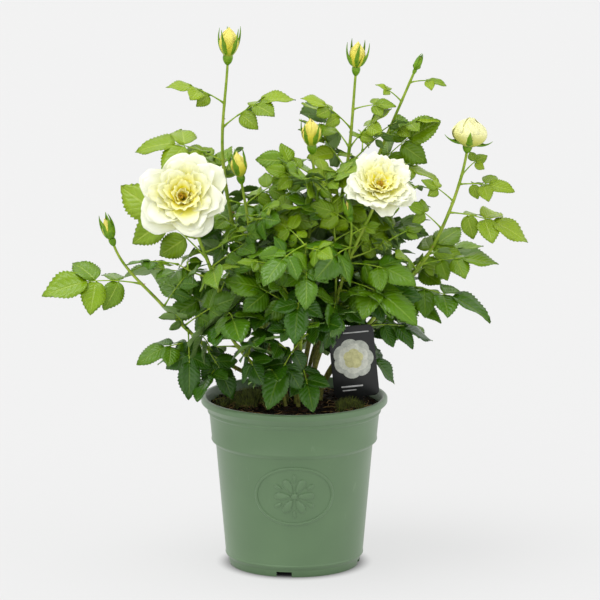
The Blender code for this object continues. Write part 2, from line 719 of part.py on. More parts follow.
def make_pot(material, collection):
    pot = turned("pot", POT_INSIDE + POT_OUTSIDE + POT_BELOW, material, collection)
    apply_modifiers(pot)
    combine(pot, pot_cutters(material, collection), "DIFFERENCE")
    combine(pot, [oval_relief(material, collection), *rosette_relief(material, collection)], "UNION")
    keep_largest(pot)
    pot.data.shade_smooth()
    pot.data.set_sharp_from_angle(angle=math.radians(30))
    return pot


# ---- compost ----

def soil_lift(x, y):
    """How far the top stands above its turned profile."""
    far = math.hypot(x, y)
    if far < SOIL_FLAT[0] or far > SOIL_FLAT[1]:
        return 0
    lift = SOIL_BUMP * noise.noise(Vector((x, y, 0)) / SOIL_GRAIN)
    for mx, my, size, height in MOSS_MOUNDS:
        lift += height * math.exp(-((x - mx)**2 + (y - my)**2) / size**2)
    return lift


def make_compost(material, collection):
    walls = [(r - WALL_CLEARANCE, z) for r, z in POT_INSIDE[5:2:-1]]
    foot = [(POT_INSIDE[2][0] - WALL_CLEARANCE, POT_INSIDE[2][1]), (POT_INSIDE[1][0], INNER_FLOOR + GAP),
            (0, INNER_FLOOR + GAP)]
    compost = turned("compost", list(SOIL_TOP) + walls + foot, material, collection)
    apply_modifiers(compost)
    for vert in compost.data.vertices:
        x, y, z = vert.co / MM
        if z > SOIL_EDGE:
            vert.co.z += soil_lift(x, y) * MM
    compost.data.shade_smooth()
    compost.data.set_sharp_from_angle(angle=math.radians(40))
    return compost


# ---- label ----

def card_matrix():
    return Matrix.Translation(CARD_FOOT) @ Matrix.Rotation(math.radians(CARD_LEAN), 4, "Y")


def label_outline():
    """Half a card and its stake, top to bottom, then mirrored."""
    half, height = CARD[0] / 2, CARD[1]
    corners = []
    for cz, start in ((height - CARD_CORNER, 90), (CARD_CORNER, 0)):
        for step in range(CARD_CORNER_STEPS + 1):
            angle = math.radians(start - 90 * step / CARD_CORNER_STEPS)
            corners.append((half - CARD_CORNER + CARD_CORNER * math.cos(angle),
                            cz + CARD_CORNER * math.sin(angle)))
    stake, depth = STAKE[0] / 2, STAKE[1]
    corners += [(stake, 0), (stake, -depth * STAKE_POINT)]
    return corners + [(0, -depth)] + [(-x, z) for x, z in reversed(corners)]


def make_label(material, collection):
    data = bpy.data.curves.new("plant_label", "CURVE")
    data.dimensions = "2D"
    data.fill_mode = "BOTH"
    data.extrude = CARD_THICK / 2 * MM
    spline = data.splines.new("POLY")
    outline = label_outline()
    spline.points.add(len(outline) - 1)
    spline.use_cyclic_u = True
    for point, (x, z) in zip(spline.points, outline):
        point.co = (x * MM, z * MM, 0, 1)
    data.materials.append(material)
    label = bpy.data.objects.new("plant_label", data)
    label.matrix_world = Matrix.Scale(MM, 4) @ card_matrix() @ Matrix.Scale(1 / MM, 4) \
        @ Matrix.Rotation(math.pi / 2, 4, "X")
    collection.objects.link(label)
    return label


def cut_label_slot(compost, material, collection):
    """A slot in the compost that takes the label's stake."""
    bm = bmesh.new()
    bmesh.ops.create_cube(bm, size=1)
    wide, deep = STAKE
    bm.transform(card_matrix() @ Matrix.Translation((0, 0, -deep / 2 - GAP / 2))
                 @ Matrix.Diagonal((wide + 2 * GAP, CARD_THICK + 2 * GAP, deep + GAP, 1)))
    slot = make_object("slot", bm, material, collection)
    combine(compost, [slot], "DIFFERENCE")


# ---- canes and foliage ----

def make_cane(name, plan, route, material, collection):
    """The bare part of a cane, from its flat cut on the soil."""
    foot = route.at(0)
    shares = [plan["bare"] * (step + 1) / (CANE_POINTS - 1) for step in range(CANE_POINTS - 1)]
    places = [foot, foot + UP * COLLAR] + [route.at(s) for s in shares]
    radii = [plan["thick"][0] * CANE_FLARE, plan["thick"][0]] + [radius_at(plan, s) for s in shares]
    return curve_tube("cane_" + name, places, radii, CANE_SIDES, material, collection)


def leaf_tries(plan, route, luck):
    """Each leaf of a cane as a list of ever smaller tries: those that stand out, then those by rule."""
    for share, azimuth, rise, length in plan["leaves"]:
        front = 1 if route.at(share).y < BACK_HALF else -1
        roll = front * FRONT_TURN * math.cos(math.radians(azimuth))
        roll += luck.uniform(-OUTLINE_TWIST, OUTLINE_TWIST)
        yield [(share, azimuth + turn, rise, length * size, roll, length < SMALL_LEAF)
               for turn, size in OUTLINE_TRIES]
    count, first, last, _ = plan["rule"]
    start = luck.uniform(0, 360)
    for number in range(count):
        tries = []
        for attempt in range(RULE_TRIES):
            share = first + (last - first) * (number + luck.uniform(*RULE_PLACE)) / count
            turn = RULE_TURN[0] + RULE_TURN[1] * attempt
            azimuth = start + GOLDEN_ANGLE * number + luck.uniform(-turn, turn)
            length = luck.uniform(*RULE_LENGTH) * (1 - RULE_SHRINK * attempt)
            rise = luck.uniform(*RULE_RISE)
            roll = luck.uniform(-RULE_TWIST, RULE_TWIST)
            tries.append((share, azimuth, rise, length, roll, length < SMALL_LEAF))
        yield tries


def grow_leaves(name, plan, route, room):
    """The leaves of one cane that fit in the room left."""
    luck = random.Random(plan["rule"][3])
    kept = []
    for tries in leaf_tries(plan, route, luck):
        arch = luck.uniform(*LEAF_ARCH)
        for share, azimuth, rise, length, roll, small in tries:
            leaf = Leaf(route.at(share), azimuth, rise, length, arch, roll, small)
            tip = leaf.at(1)
            if tip.z < LOWEST or abs(tip.y) > DEEPEST:
                continue
            wide = leaf.build(CLEARANCE)
            shape = leaf.build()
            fits = room.clear(wide, name) and room.clear(shape, name) and not crosses_itself(shape)
            wide.free()
            if fits:
                room.add(shape)
                kept.append(shape)
                break
            shape.free()
    return kept


def make_stem(name, plan, route, material, collection):
    """The leafy part of a cane, from 0.3 mm above its bare part to its tip."""
    start = plan["bare"] + GAP / route.length
    shares = [start + (1 - start) * step / (STEM_POINTS - 1) for step in range(STEM_POINTS)]
    shares.insert(-1, 1 - COLLAR / route.length)
    radii = [radius_at(plan, s) for s in shares]
    tube = curve_tube("foliage_" + name, [route.at(s) for s in shares], radii, STEM_SIDES, material, collection)
    return as_mesh(tube, collection)


def join_leaves(stem, shapes, material, collection):
    """Leaves rooted in their stem, joined to it by one union."""
    leaves = [make_object(f"leaf_{number}", shape, material, collection) for number, shape in enumerate(shapes)]
    combine(stem, leaves, "UNION")
    keep_largest(stem)


def build():
    clear_scene()
    parts = make_collection(COLLECTION)
    pot_green = principled("pot_green", (0.16, 0.24, 0.15), 0.62)
    compost_brown = principled("compost_brown", (0.022, 0.014, 0.008), 0.95)
    label_black = principled("label_black", (0.012, 0.012, 0.013), 0.4)
    cane_bark = principled("cane_bark", (0.14, 0.17, 0.05), 0.7)
    leaf_green = principled("leaf_green", (0.05, 0.14, 0.015), 0.5)
    petal_cream = principled("petal_cream", (0.88, 0.86, 0.62), 0.6)
    bud_yellow = principled("bud_yellow", (0.7, 0.66, 0.16), 0.6)

    pot = make_pot(pot_green, parts)
    compost = make_compost(compost_brown, parts)
    label = make_label(label_black, parts)
    cut_label_slot(compost, compost_brown, parts)
    room = Room()
    for item in (pot, compost, label):
        room.add(in_millimetres(item))

    routes = {name: Route(plan) for name, plan in CANES.items()}
    for name, (cane, radius, depth) in ROSES.items():
        bloom = bloom_shape(routes[cane], radius, depth, ROSE_RINGS, ROSE_HEART, ROSE_SIDES, ROSE_LIFT)
        room.add(bloom)
        make_object(name, bloom, petal_cream, parts)
    half = bloom_shape(routes[HALF_OPEN["cane"]], HALF_OPEN["radius"], HALF_OPEN["height"],
                       HALF_OPEN_RINGS, HALF_OPEN_HEART, HALF_OPEN_SIDES, 0)
    room.add(half)
    make_object("rose_half_open", half, petal_cream, parts)
    for name, (cane, length, radius, turn) in BUDS.items():
        bud = bud_shape(routes[cane], length, radius, turn)
        room.add(bud)
        make_object(name, bud, bud_yellow, parts)

    stems = {}
    for name, plan in CANES.items():
        room.add(in_millimetres(make_cane(name, plan, routes[name], cane_bark, parts)))
        stems[name] = make_stem(name, plan, routes[name], leaf_green, parts)
        room.add(in_millimetres(stems[name]), name)
    for name, plan in CANES.items():
        shapes = grow_leaves(name, plan, routes[name], room)
        join_leaves(stems[name], shapes, leaf_green, parts)


build()
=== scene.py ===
import bisect
import random
from math import atan2, cos, degrees, dist, exp, hypot, pi, radians, sin, sqrt

import bmesh
import bpy
from mathutils import Matrix, Vector, noise
from mathutils.kdtree import KDTree


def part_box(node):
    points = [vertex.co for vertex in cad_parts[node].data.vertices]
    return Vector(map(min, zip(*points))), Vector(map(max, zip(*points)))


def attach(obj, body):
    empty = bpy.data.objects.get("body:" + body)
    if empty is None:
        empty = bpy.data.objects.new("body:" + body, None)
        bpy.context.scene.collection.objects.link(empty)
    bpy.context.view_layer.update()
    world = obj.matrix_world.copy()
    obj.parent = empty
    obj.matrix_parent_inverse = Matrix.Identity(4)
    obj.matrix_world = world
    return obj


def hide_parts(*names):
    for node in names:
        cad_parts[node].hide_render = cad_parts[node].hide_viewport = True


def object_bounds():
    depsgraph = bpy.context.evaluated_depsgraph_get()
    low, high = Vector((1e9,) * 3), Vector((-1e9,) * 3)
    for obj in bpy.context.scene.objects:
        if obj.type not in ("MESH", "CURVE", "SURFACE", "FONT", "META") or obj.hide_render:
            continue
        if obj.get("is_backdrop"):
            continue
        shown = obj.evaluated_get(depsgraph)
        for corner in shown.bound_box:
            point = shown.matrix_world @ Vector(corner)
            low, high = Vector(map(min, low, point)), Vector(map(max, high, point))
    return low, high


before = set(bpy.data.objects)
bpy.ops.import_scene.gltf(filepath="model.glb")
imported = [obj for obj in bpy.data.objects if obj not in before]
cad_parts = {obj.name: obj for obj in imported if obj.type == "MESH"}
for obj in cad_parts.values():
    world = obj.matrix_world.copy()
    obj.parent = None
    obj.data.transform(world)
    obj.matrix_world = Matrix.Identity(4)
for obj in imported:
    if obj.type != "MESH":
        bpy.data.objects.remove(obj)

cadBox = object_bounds()
mm = 0.001  # shapes are worked out in millimetres and scaled when they are placed
upward = Vector((0, 0, 1))
seeds = {
    "crumbs": 71, "fibres": 72, "moss": 73, "sideLeaves": 77, "halfOpen": 21, "forkBud": 9,
    # these are added to a cane's own
    "solidLeaves": 0, "finerLeaves": 300, "thorns": 500, "twigs": 600, "leaflets": 900,
}
print("frame:", len(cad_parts), "nodes")


# small tools

def linear(hexColour):
    # an sRGB hex value as linear red, green, blue, alpha
    parts = [int(hexColour[i:i + 2], 16) / 255 for i in (1, 3, 5)]
    return (*[p / 12.92 if p <= 0.04045 else ((p + 0.055) / 1.055) ** 2.4 for p in parts], 1)


def addNode(tree, kind, inputs, output=0, **settings):
    # each input is linked to a socket or set to a value, and one output socket comes back;
    # a Mix of colours has its factor at 0, its colours at 6 and 7, and the result at output 2
    node = tree.nodes.new("ShaderNode" + kind)
    for key, value in settings.items():
        setattr(node, key, value)
    for key, value in inputs.items():
        if isinstance(value, bpy.types.NodeSocket):
            tree.links.new(value, node.inputs[key])
        else:
            node.inputs[key].default_value = value
    return node.outputs[output]


def startFinish(name, roughness, **sockets):
    # a material with its Principled shader; sockets are set by their names
    finish = bpy.data.materials.new(name)
    finish.use_nodes = True
    tree = finish.node_tree
    shader = tree.nodes["Principled BSDF"]
    shader.inputs["Roughness"].default_value = roughness
    for key, value in sockets.items():
        shader.inputs[key.replace("_", " ")].default_value = value
    return finish, tree, shader


def endFinish(tree, shader, colour, height, strength, bumpMm):
    bump = addNode(tree, "Bump", {"Height": height, "Strength": strength, "Distance": bumpMm * mm})
    tree.links.new(colour, shader.inputs["Base Color"])
    tree.links.new(bump, shader.inputs["Normal"])


def placePiece(name, bm, finishes, replaced=(), smoothAngle=None, closed=True):
    # moves a finished shape in millimetres into an object in metres, riding on the root body
    bm.transform(Matrix.Scale(mm, 4))
    if closed:
        bmesh.ops.recalc_face_normals(bm, faces=bm.faces)
    mesh = bpy.data.meshes.new(name)
    bm.to_mesh(mesh)
    bm.free()
    mesh.shade_smooth()
    if smoothAngle:
        mesh.set_sharp_from_angle(angle=radians(smoothAngle))
    for finish in finishes:
        mesh.materials.append(finish)
    piece = bpy.data.objects.new(name, mesh)
    bpy.context.scene.collection.objects.link(piece)
    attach(piece, "root")
    if replaced:
        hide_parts(*replaced)
    return piece


def bakeModifiers(piece):
    graph = bpy.context.evaluated_depsgraph_get()
    mesh = bpy.data.meshes.new_from_object(piece.evaluated_get(graph))
    piece.modifiers.clear()
    piece.data = mesh


def thicken(piece, thick, side=0, underside=0):
    # gives a sheet its thickness, on both sides or below; its underside may have a finish of its own
    shell = piece.modifiers.new("thickness", "SOLIDIFY")
    shell.thickness = thick * mm
    shell.offset = side
    shell.material_offset = underside
    return piece


def growCopy(bm, template, place):
    # adds a copy of a template and sets each corner where place puts it
    first = len(bm.verts)
    bm.from_mesh(template)
    bm.verts.ensure_lookup_table()
    for vert in bm.verts[first:]:
        vert.co = place(*vert.co)


def growTube(bm, template, at, radiusAt, heading=None, step=0.01):
    # bends a tube template along a curve; a heading that isn't given is read off the curve over a short step
    heading = heading or (lambda s: (at(s + step) - at(s - step)).normalized())

    def place(x, y, z):
        forward = heading(z)
        across = forward.cross(Vector((0.31, 0.17, 0.93))).normalized()
        lift = forward.cross(across)
        return at(z) + (across * x + lift * y) * radiusAt(z, x, y)
    growCopy(bm, template, place)


def keepTemplate(name, bm):
    template = bpy.data.meshes.new(name)
    bm.to_mesh(template)
    bm.free()
    return template


def gridTemplate(name, across, along, toothCuts=0):
    # x from -1 to 1 across and y from 0 to 1 along, kept as its UV map too;
    # a leaf's edge gets extra corners for its teeth
    bm = bmesh.new()
    bmesh.ops.create_grid(bm, x_segments=across, y_segments=along, size=1)
    for vert in bm.verts:
        vert.co.y = vert.co.y / 2 + 0.5
    if toothCuts:
        edges = [e for e in bm.edges if all(abs(v.co.x) > 0.99 for v in e.verts)]
        bmesh.ops.subdivide_edges(bm, edges=edges, cuts=toothCuts)
        bmesh.ops.triangulate(bm, faces=[f for f in bm.faces if len(f.verts) > 4])
    layer = bm.loops.layers.uv.new("grid")
    for face in bm.faces:
        for loop in face.loops:
            loop[layer].uv = (loop.vert.co.x / 2 + 0.5, loop.vert.co.y)
    return keepTemplate(name, bm)


def tubeTemplate(name, sides, rows, tip=1):
    # a capped tube of radius 1 from z 0 to z 1, drawn in to a tip where one is given
    bm = bmesh.new()
    bmesh.ops.create_cone(bm, cap_ends=True, segments=sides, radius1=1, radius2=tip, depth=1,
                          matrix=Matrix.Translation((0, 0, 0.5)))
    if rows > 1:
        upright = [e for e in bm.edges if abs(e.verts[0].co.z - e.verts[1].co.z) > 0.5]
        bmesh.ops.subdivide_edges(bm, edges=upright, cuts=rows - 1, use_grid_fill=True)
    return keepTemplate(name, bm)


def ballTemplate(name, around, rows):
    bm = bmesh.new()
    bmesh.ops.create_uvsphere(bm, u_segments=around, v_segments=rows, radius=1)
    return keepTemplate(name, bm)


# finishes

def potPlastic():
    # injection-moulded polypropylene, matt sage green: a fine sparked grain, faint mottling and scuffs
    look = {"base": "#5d7b54", "shade": "#516e4a", "scuff": "#9bae93",
            "grainMm": 0.9, "mottleMm": 38, "scuffMm": 6.25}
    finish, tree, shader = startFinish("polypropylene_sage", 0.42, Specular_IOR_Level=0.62,
                                       Sheen_Weight=0.17, Sheen_Roughness=0.5)
    where = addNode(tree, "TexCoord", {}, "Object")
    mottle = addNode(tree, "TexNoise", {"Vector": where, "Scale": 1 / (look["mottleMm"] * mm), "Detail": 4},
                     "Fac")
    body = addNode(tree, "Mix", {0: mottle, 6: linear(look["base"]), 7: linear(look["shade"])}, 2,
                   data_type="RGBA")
    upright = addNode(tree, "Mapping", {"Vector": where, "Scale": (1, 1, 0.25)})
    wear = addNode(tree, "TexNoise", {"Vector": upright, "Scale": 1 / (look["scuffMm"] * mm), "Detail": 8,
                                      "Roughness": 0.75}, "Fac")
    scuffs = addNode(tree, "MapRange", {"Value": wear, "From Min": 0.62, "From Max": 0.78, "To Max": 0.35})
    colour = addNode(tree, "Mix", {0: scuffs, 6: body, 7: linear(look["scuff"])}, 2, data_type="RGBA")
    grain = addNode(tree, "TexNoise", {"Vector": where, "Scale": 1 / (look["grainMm"] * mm), "Detail": 2},
                    "Fac")
    endFinish(tree, shader, colour, grain, 0.18, 0.3)
    return finish


def grainyFinish(name, dark, light, grainMm, roughness, bumpMm, perPiece=0, **sockets):
    # an earthy or fibrous surface: two browns or greens in noise, and each loose bit a little different
    finish, tree, shader = startFinish(name, roughness, **sockets)
    where = addNode(tree, "TexCoord", {}, "Object")
    grain = addNode(tree, "TexNoise", {"Vector": where, "Scale": 1 / (grainMm * mm), "Detail": 6,
                                       "Roughness": 0.65}, "Fac")
    share = addNode(tree, "MapRange", {"Value": grain, "From Min": 0.35, "From Max": 0.68})
    if perPiece:
        island = addNode(tree, "NewGeometry", {}, "Random Per Island")
        offset = addNode(tree, "MapRange", {"Value": island, "To Min": -perPiece, "To Max": perPiece})
        share = addNode(tree, "Math", {0: share, 1: offset}, operation="ADD", use_clamp=True)
    colour = addNode(tree, "Mix", {0: share, 6: linear(dark), 7: linear(light)}, 2, data_type="RGBA")
    endFinish(tree, shader, colour, grain, 0.6, bumpMm)
    return finish


def leafFinish(name, dark, light, vein, roughness):
    # a waxy leaf blade: paler sunken midrib and side veins every few millimetres, one leaflet unlike the next
    look = {"sideVeins": 7, "slant": 0.34, "mottleMm": 6, "veinShare": 0.55}
    finish, tree, shader = startFinish(name, roughness, Specular_IOR_Level=0.38)
    grid = addNode(tree, "UVMap", {}, uv_map="grid")
    across = addNode(tree, "SeparateXYZ", {"Vector": grid}, "X")
    along = addNode(tree, "SeparateXYZ", {"Vector": grid}, "Y")
    offMidrib = addNode(tree, "MapRange", {"Value": across, "To Min": -1})
    side = addNode(tree, "Math", {0: offMidrib}, operation="ABSOLUTE")
    run = addNode(tree, "Math", {0: side, 1: -look["slant"], 2: along}, operation="MULTIPLY_ADD")
    rows = addNode(tree, "Math", {0: run, 1: look["sideVeins"]}, operation="MULTIPLY")
    wave = addNode(tree, "Math", {0: rows, 1: 0.5}, operation="PINGPONG")
    sideVein = addNode(tree, "MapRange", {"Value": wave, "From Max": 0.11, "To Min": 0.22, "To Max": 0})
    midrib = addNode(tree, "MapRange", {"Value": side, "From Min": 0.03, "From Max": 0.1, "To Min": 1,
                                        "To Max": 0})
    veins = addNode(tree, "Math", {0: sideVein, 1: midrib}, operation="MAXIMUM")
    where = addNode(tree, "TexCoord", {}, "Object")
    mottle = addNode(tree, "TexNoise", {"Vector": where, "Scale": 1 / (look["mottleMm"] * mm), "Detail": 3},
                     "Fac")
    spots = addNode(tree, "Math", {0: mottle, 1: 0.3}, operation="MULTIPLY")
    island = addNode(tree, "NewGeometry", {}, "Random Per Island")
    share = addNode(tree, "Math", {0: island, 1: 0.75, 2: spots}, operation="MULTIPLY_ADD", use_clamp=True)
    blade = addNode(tree, "Mix", {0: share, 6: linear(dark), 7: linear(light)}, 2, data_type="RGBA")
    paler = addNode(tree, "Math", {0: veins, 1: look["veinShare"]}, operation="MULTIPLY")
    colour = addNode(tree, "Mix", {0: paler, 6: blade, 7: linear(vein)}, 2, data_type="RGBA")
    swell = addNode(tree, "Math", {0: wave, 1: 1.2}, operation="MULTIPLY")
    height = addNode(tree, "Math", {0: swell, 1: veins}, operation="SUBTRACT")
    endFinish(tree, shader, colour, height, 0.45, 0.9)
    return finish


def petalFinish(name, claw, middle, rim, clawEnd=0.2, roughness=0.62):
    # a soft petal: yellower towards its claw, with fine lengthwise lines and a velvet sheen
    finish, tree, shader = startFinish(name, roughness, Specular_IOR_Level=0.25, Sheen_Weight=0.1,
                                       Subsurface_Weight=0.2, Subsurface_Scale=0.003,
                                       Subsurface_Radius=(1, 1, 0.7))
    grid = addNode(tree, "UVMap", {}, uv_map="grid")
    along = addNode(tree, "SeparateXYZ", {"Vector": grid}, "Y")
    shades = addNode(tree, "ValToRGB", {"Fac": along})
    ramp = shades.node.color_ramp.elements
    ramp[0].color = linear(claw)
    ramp[0].position = clawEnd
    ramp[1].color = linear(rim)
    ramp[1].position = 0.84
    ramp.new(0.4 + clawEnd / 2).color = linear(middle)
    island = addNode(tree, "NewGeometry", {}, "Random Per Island")
    unlike = addNode(tree, "Math", {0: island, 1: 0.2}, operation="MULTIPLY")
    colour = addNode(tree, "Mix", {0: unlike, 6: shades, 7: linear(middle)}, 2, data_type="RGBA")
    fine = addNode(tree, "Mapping", {"Vector": grid, "Scale": (34, 2, 1)})
    lines = addNode(tree, "TexNoise", {"Vector": fine, "Scale": 1, "Detail": 3}, "Fac")
    endFinish(tree, shader, colour, lines, 0.25, 0.4)
    return finish


# camera, light and floor

def stageScene():
    look = {"target": (0.0058, 0, 0.2736), "distance": 5.0, "pitch": 11.6, "frameAtTarget": 0.6096,
            # the floor glows evenly, but the glow fades out within the ring round the pot's foot, a painted
            # contact shadow
            "floor": "#707070", "glow": 0.64, "paintedShadowRing": (0.058, 0.082),
            "room": (0.34, 1), "sides": (1.2, 1.1),  # white walls, darker behind the camera
            "lamps": (("key", 1.7, 40, (0.25, 0.1, -1)), ("fill", 0.42, 60, (0.1, 1, -0.25)),
                      ("left", 0.9, 70, (0.85, 1, -0.5)), ("right", 0.9, 70, (-1, 0.5, -0.4)))}
    scene = bpy.context.scene
    scene.view_settings.view_transform = "Standard"
    pitch = radians(look["pitch"])
    forward = Vector((0, cos(pitch), -sin(pitch)))
    camera = bpy.data.objects.new("camera", bpy.data.cameras.new("camera"))
    scene.collection.objects.link(camera)
    camera.location = Vector(look["target"]) - forward * look["distance"]
    camera.rotation_mode = "QUATERNION"
    camera.rotation_quaternion = forward.to_track_quat("-Z", "Y")
    camera.data.sensor_width = 36
    camera.data.lens = 36 * look["distance"] / look["frameAtTarget"]
    camera.data.clip_end = 100
    scene.camera = camera

    world = bpy.data.worlds.new("studio")
    world.use_nodes = True
    tree = world.node_tree
    back = tree.nodes["Background"]
    back.inputs[0].default_value = (1, 1, 1, 1)
    where = addNode(tree, "TexCoord", {}, "Generated")
    (dim, bright), (left, right) = look["room"], look["sides"]
    depth = addNode(tree, "MapRange", {"Value": addNode(tree, "SeparateXYZ", {"Vector": where}, "Y"),
                                       "From Min": -0.7, "From Max": 0.7, "To Min": dim, "To Max": bright})
    side = addNode(tree, "MapRange", {"Value": addNode(tree, "SeparateXYZ", {"Vector": where}, "X"),
                                      "From Min": -1, "To Min": left, "To Max": right})
    tree.links.new(addNode(tree, "Math", {0: depth, 1: side}, operation="MULTIPLY"), back.inputs[1])
    scene.world = world
    for name, strength, spread, aim in look["lamps"]:
        lamp = bpy.data.objects.new(name, bpy.data.lights.new(name, "SUN"))
        lamp.data.energy = strength
        lamp.data.angle = radians(spread)
        lamp.rotation_mode = "QUATERNION"
        lamp.rotation_quaternion = Vector(aim).to_track_quat("-Z", "Y")
        scene.collection.objects.link(lamp)

    bm = bmesh.new()
    bmesh.ops.create_grid(bm, x_segments=1, y_segments=1, size=30)
    floor = bpy.data.objects.new("floor", keepTemplate("floor", bm))
    finish, tree, shader = startFinish("studio_paper", 0.9, Specular_IOR_Level=0,
                                       Base_Color=linear(look["floor"]), Emission_Color=(1, 1, 1, 1))
    # a sweep that glows by itself, so that shadows stay faint; near the pot's foot the glow fades out, a
    # painted contact shadow
    where = addNode(tree, "TexCoord", {}, "Object")
    far = addNode(tree, "VectorMath", {0: where}, "Value", operation="LENGTH")
    inner, outer = look["paintedShadowRing"]
    glow = addNode(tree, "MapRange", {"Value": far, "From Min": inner, "From Max": outer,
                                      "To Max": look["glow"]}, interpolation_type="SMOOTHSTEP")
    tree.links.new(glow, shader.inputs["Emission Strength"])
    floor.data.materials.append(finish)
    scene.collection.objects.link(floor)
    floor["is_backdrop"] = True


stageScene()
print("camera, light and floor")


# pot

pot = {
    "steps": 144,
    "inside": ((0, 7.8), (64, 7.8), (67.6, 10.5), (78.1, 125), (82.1, 130.5), (84.4, 158), (88.8, 170.5),
               (90.5, 174.6)),
    "outside": ((93.5, 174.6), (95, 173), (95, 168.5), (88, 161.6), (88.5, 160.2), (88.5, 158.8),
                (86.7, 157.4), (84.2, 132), (84.6, 131), (84.65, 130.2), (84.2, 129.2),
                (80.5, 126), (80, 124.5), (70.3, 13), (70.65, 12.2), (70.65, 11.2), (70, 10.3), (67.5, 7),
                (66.5, 0)),
    "below": ((63, 0), (62.6, 5.8), (24, 5.8), (22, 0), (0, 0)),
    "bodyTop": (80, 124.5), "bodyFoot": (70.1, 10.5),
    "feet": 4, "notch": (18, 16, 5.6), "notchStart": -99, "notchRing": 65,
    "drainRadius": 5, "drainRing": 44, "drainTurn": 45, "floor": 7, "drainDepth": 8,
    "oval": (40, 29.5), "ovalHeight": 87, "ovalWire": (1.625, 1.04), "petalTaper": 0.35,
    "petals": 6, "petalRelief": (8, 4, 1.9), "petalRing": 12,
    "outerRing": 1.55, "outerPetal": (0.55, 0.5, 0.7),  # shares of the inner petals' ring and sizes
    "middleBead": 3.4, "edgeRound": 0.5,
}


def wallFrame(along, height):
    # a frame on the pot's front wall: X round the wall, Y up it, Z outward
    (topRadius, top), (footRadius, foot) = pot["bodyTop"], pot["bodyFoot"]
    slope = (topRadius - footRadius) / (top - foot)
    radius = footRadius + (height - foot) * slope
    angle = along / radius - pi / 2
    outward = Vector((cos(angle), sin(angle), -slope)).normalized()
    roundWall = Vector((-sin(angle), cos(angle), 0))
    turned = Matrix((roundWall, outward.cross(roundWall), outward)).transposed().to_4x4()
    return Matrix.Translation((radius * cos(angle), radius * sin(angle), height)) @ turned


def spinProfile(bm, profile, steps):
    # turns a profile in the XZ plane about Z, closed on itself
    verts = [bm.verts.new((r, 0, z)) for r, z in profile]
    edges = [bm.edges.new(pair) for pair in zip(verts, verts[1:])]
    bmesh.ops.spin(bm, geom=verts + edges, cent=(0, 0, 0), axis=(0, 0, 1), angle=2 * pi, steps=steps,
                   use_merge=True)
    bmesh.ops.remove_doubles(bm, verts=bm.verts, dist=0.001)


def makePot(finish):
    bm = bmesh.new()
    spinProfile(bm, pot["inside"] + pot["outside"] + pot["below"], pot["steps"])
    rims = [e for e in bm.edges if e.is_manifold and e.calc_face_angle() > radians(28)
            and abs(e.verts[0].co.z - e.verts[1].co.z) < 0.01 and e.verts[0].co.length > 20]
    bmesh.ops.bevel(bm, geom=rims, offset=pot["edgeRound"], offset_type="OFFSET", affect="EDGES", segments=2,
                    profile=0.5, material=-1)
    shell = placePiece("pot_shell", bm, [finish], ["pot"])
    cutters = bmesh.new()
    long, wide, high = pot["notch"]
    for number in range(pot["feet"]):
        turn = radians(pot["notchStart"] + 360 * number / pot["feet"])
        bmesh.ops.create_cube(cutters, size=1, matrix=Matrix.Rotation(turn, 4, "Z")
                              @ Matrix.Translation((pot["notchRing"], 0, 0))
                              @ Matrix.Diagonal((long, wide, 2 * high, 1)))
        turn += radians(pot["drainTurn"])
        middle = (pot["drainRing"] * cos(turn), pot["drainRing"] * sin(turn), pot["floor"])
        bmesh.ops.create_cone(cutters, cap_ends=True, segments=24, radius1=pot["drainRadius"],
                              radius2=pot["drainRadius"], depth=pot["drainDepth"],
                              matrix=Matrix.Translation(middle))
    cutters.transform(Matrix.Scale(mm, 4))
    cutter = bpy.data.objects.new("notches", keepTemplate("notches", cutters))
    bpy.context.scene.collection.objects.link(cutter)
    boolean = shell.modifiers.new("cut", "BOOLEAN")
    boolean.operation = "DIFFERENCE"
    boolean.object = cutter
    bakeModifiers(shell)
    bpy.data.objects.remove(cutter, do_unlink=True)
    shell.data.shade_smooth()
    shell.data.set_sharp_from_angle(angle=radians(35))


def makeEmblem(finish):
    # the raised oval with a plain rosette, moulded in one with the wall
    bm = bmesh.new()
    ring = tubeTemplate("ovalWire", 10, 144)

    def onOval(share):
        angle = 2 * pi * share
        across, up = pot["oval"]
        return wallFrame(across * cos(angle), pot["ovalHeight"] + up * sin(angle))

    def place(x, y, z):
        here = onOval(z)
        ahead = (onOval(z + 0.002).translation - onOval(z - 0.002).translation).normalized()
        out, (wide, high) = here.to_3x3().col[2], pot["ovalWire"]
        return here.translation + ahead.cross(out) * x * wide + out * y * high
    growCopy(bm, ring, place)
    ends = [f for f in bm.faces if len(f.verts) > 4]
    bmesh.ops.delete(bm, geom=ends, context="FACES_ONLY")
    bmesh.ops.remove_doubles(bm, verts=bm.verts, dist=0.01)
    relief, count, ringRadius = Vector(pot["petalRelief"]), pot["petals"], pot["petalRing"]
    beads = [(ringRadius, 360 * n / count, relief) for n in range(count)]
    beads += [(ringRadius * pot["outerRing"], 360 * (n + 0.5) / count, relief * Vector(pot["outerPetal"]))
              for n in range(count)]
    beads.append((0, 0, (pot["middleBead"], pot["middleBead"], relief.z * 1.15)))
    for reach, azimuth, size in beads:
        angle = radians(azimuth)
        here = wallFrame(reach * cos(angle), pot["ovalHeight"] + reach * sin(angle))
        made = bmesh.ops.create_uvsphere(bm, u_segments=20, v_segments=12, radius=1)["verts"]
        for vert in made:  # a petal is narrower towards the middle of the rosette
            vert.co.y *= 1 + pot["petalTaper"] * vert.co.x
        bmesh.ops.transform(bm, verts=made, matrix=here @ Matrix.Rotation(angle, 4, "Z")
                            @ Matrix.Diagonal((*size, 1)))
    placePiece("pot_emblem", bm, [finish])


potGreen = potPlastic()
makePot(potGreen)
makeEmblem(potGreen)
print("pot")


# compost, moss and loose bits

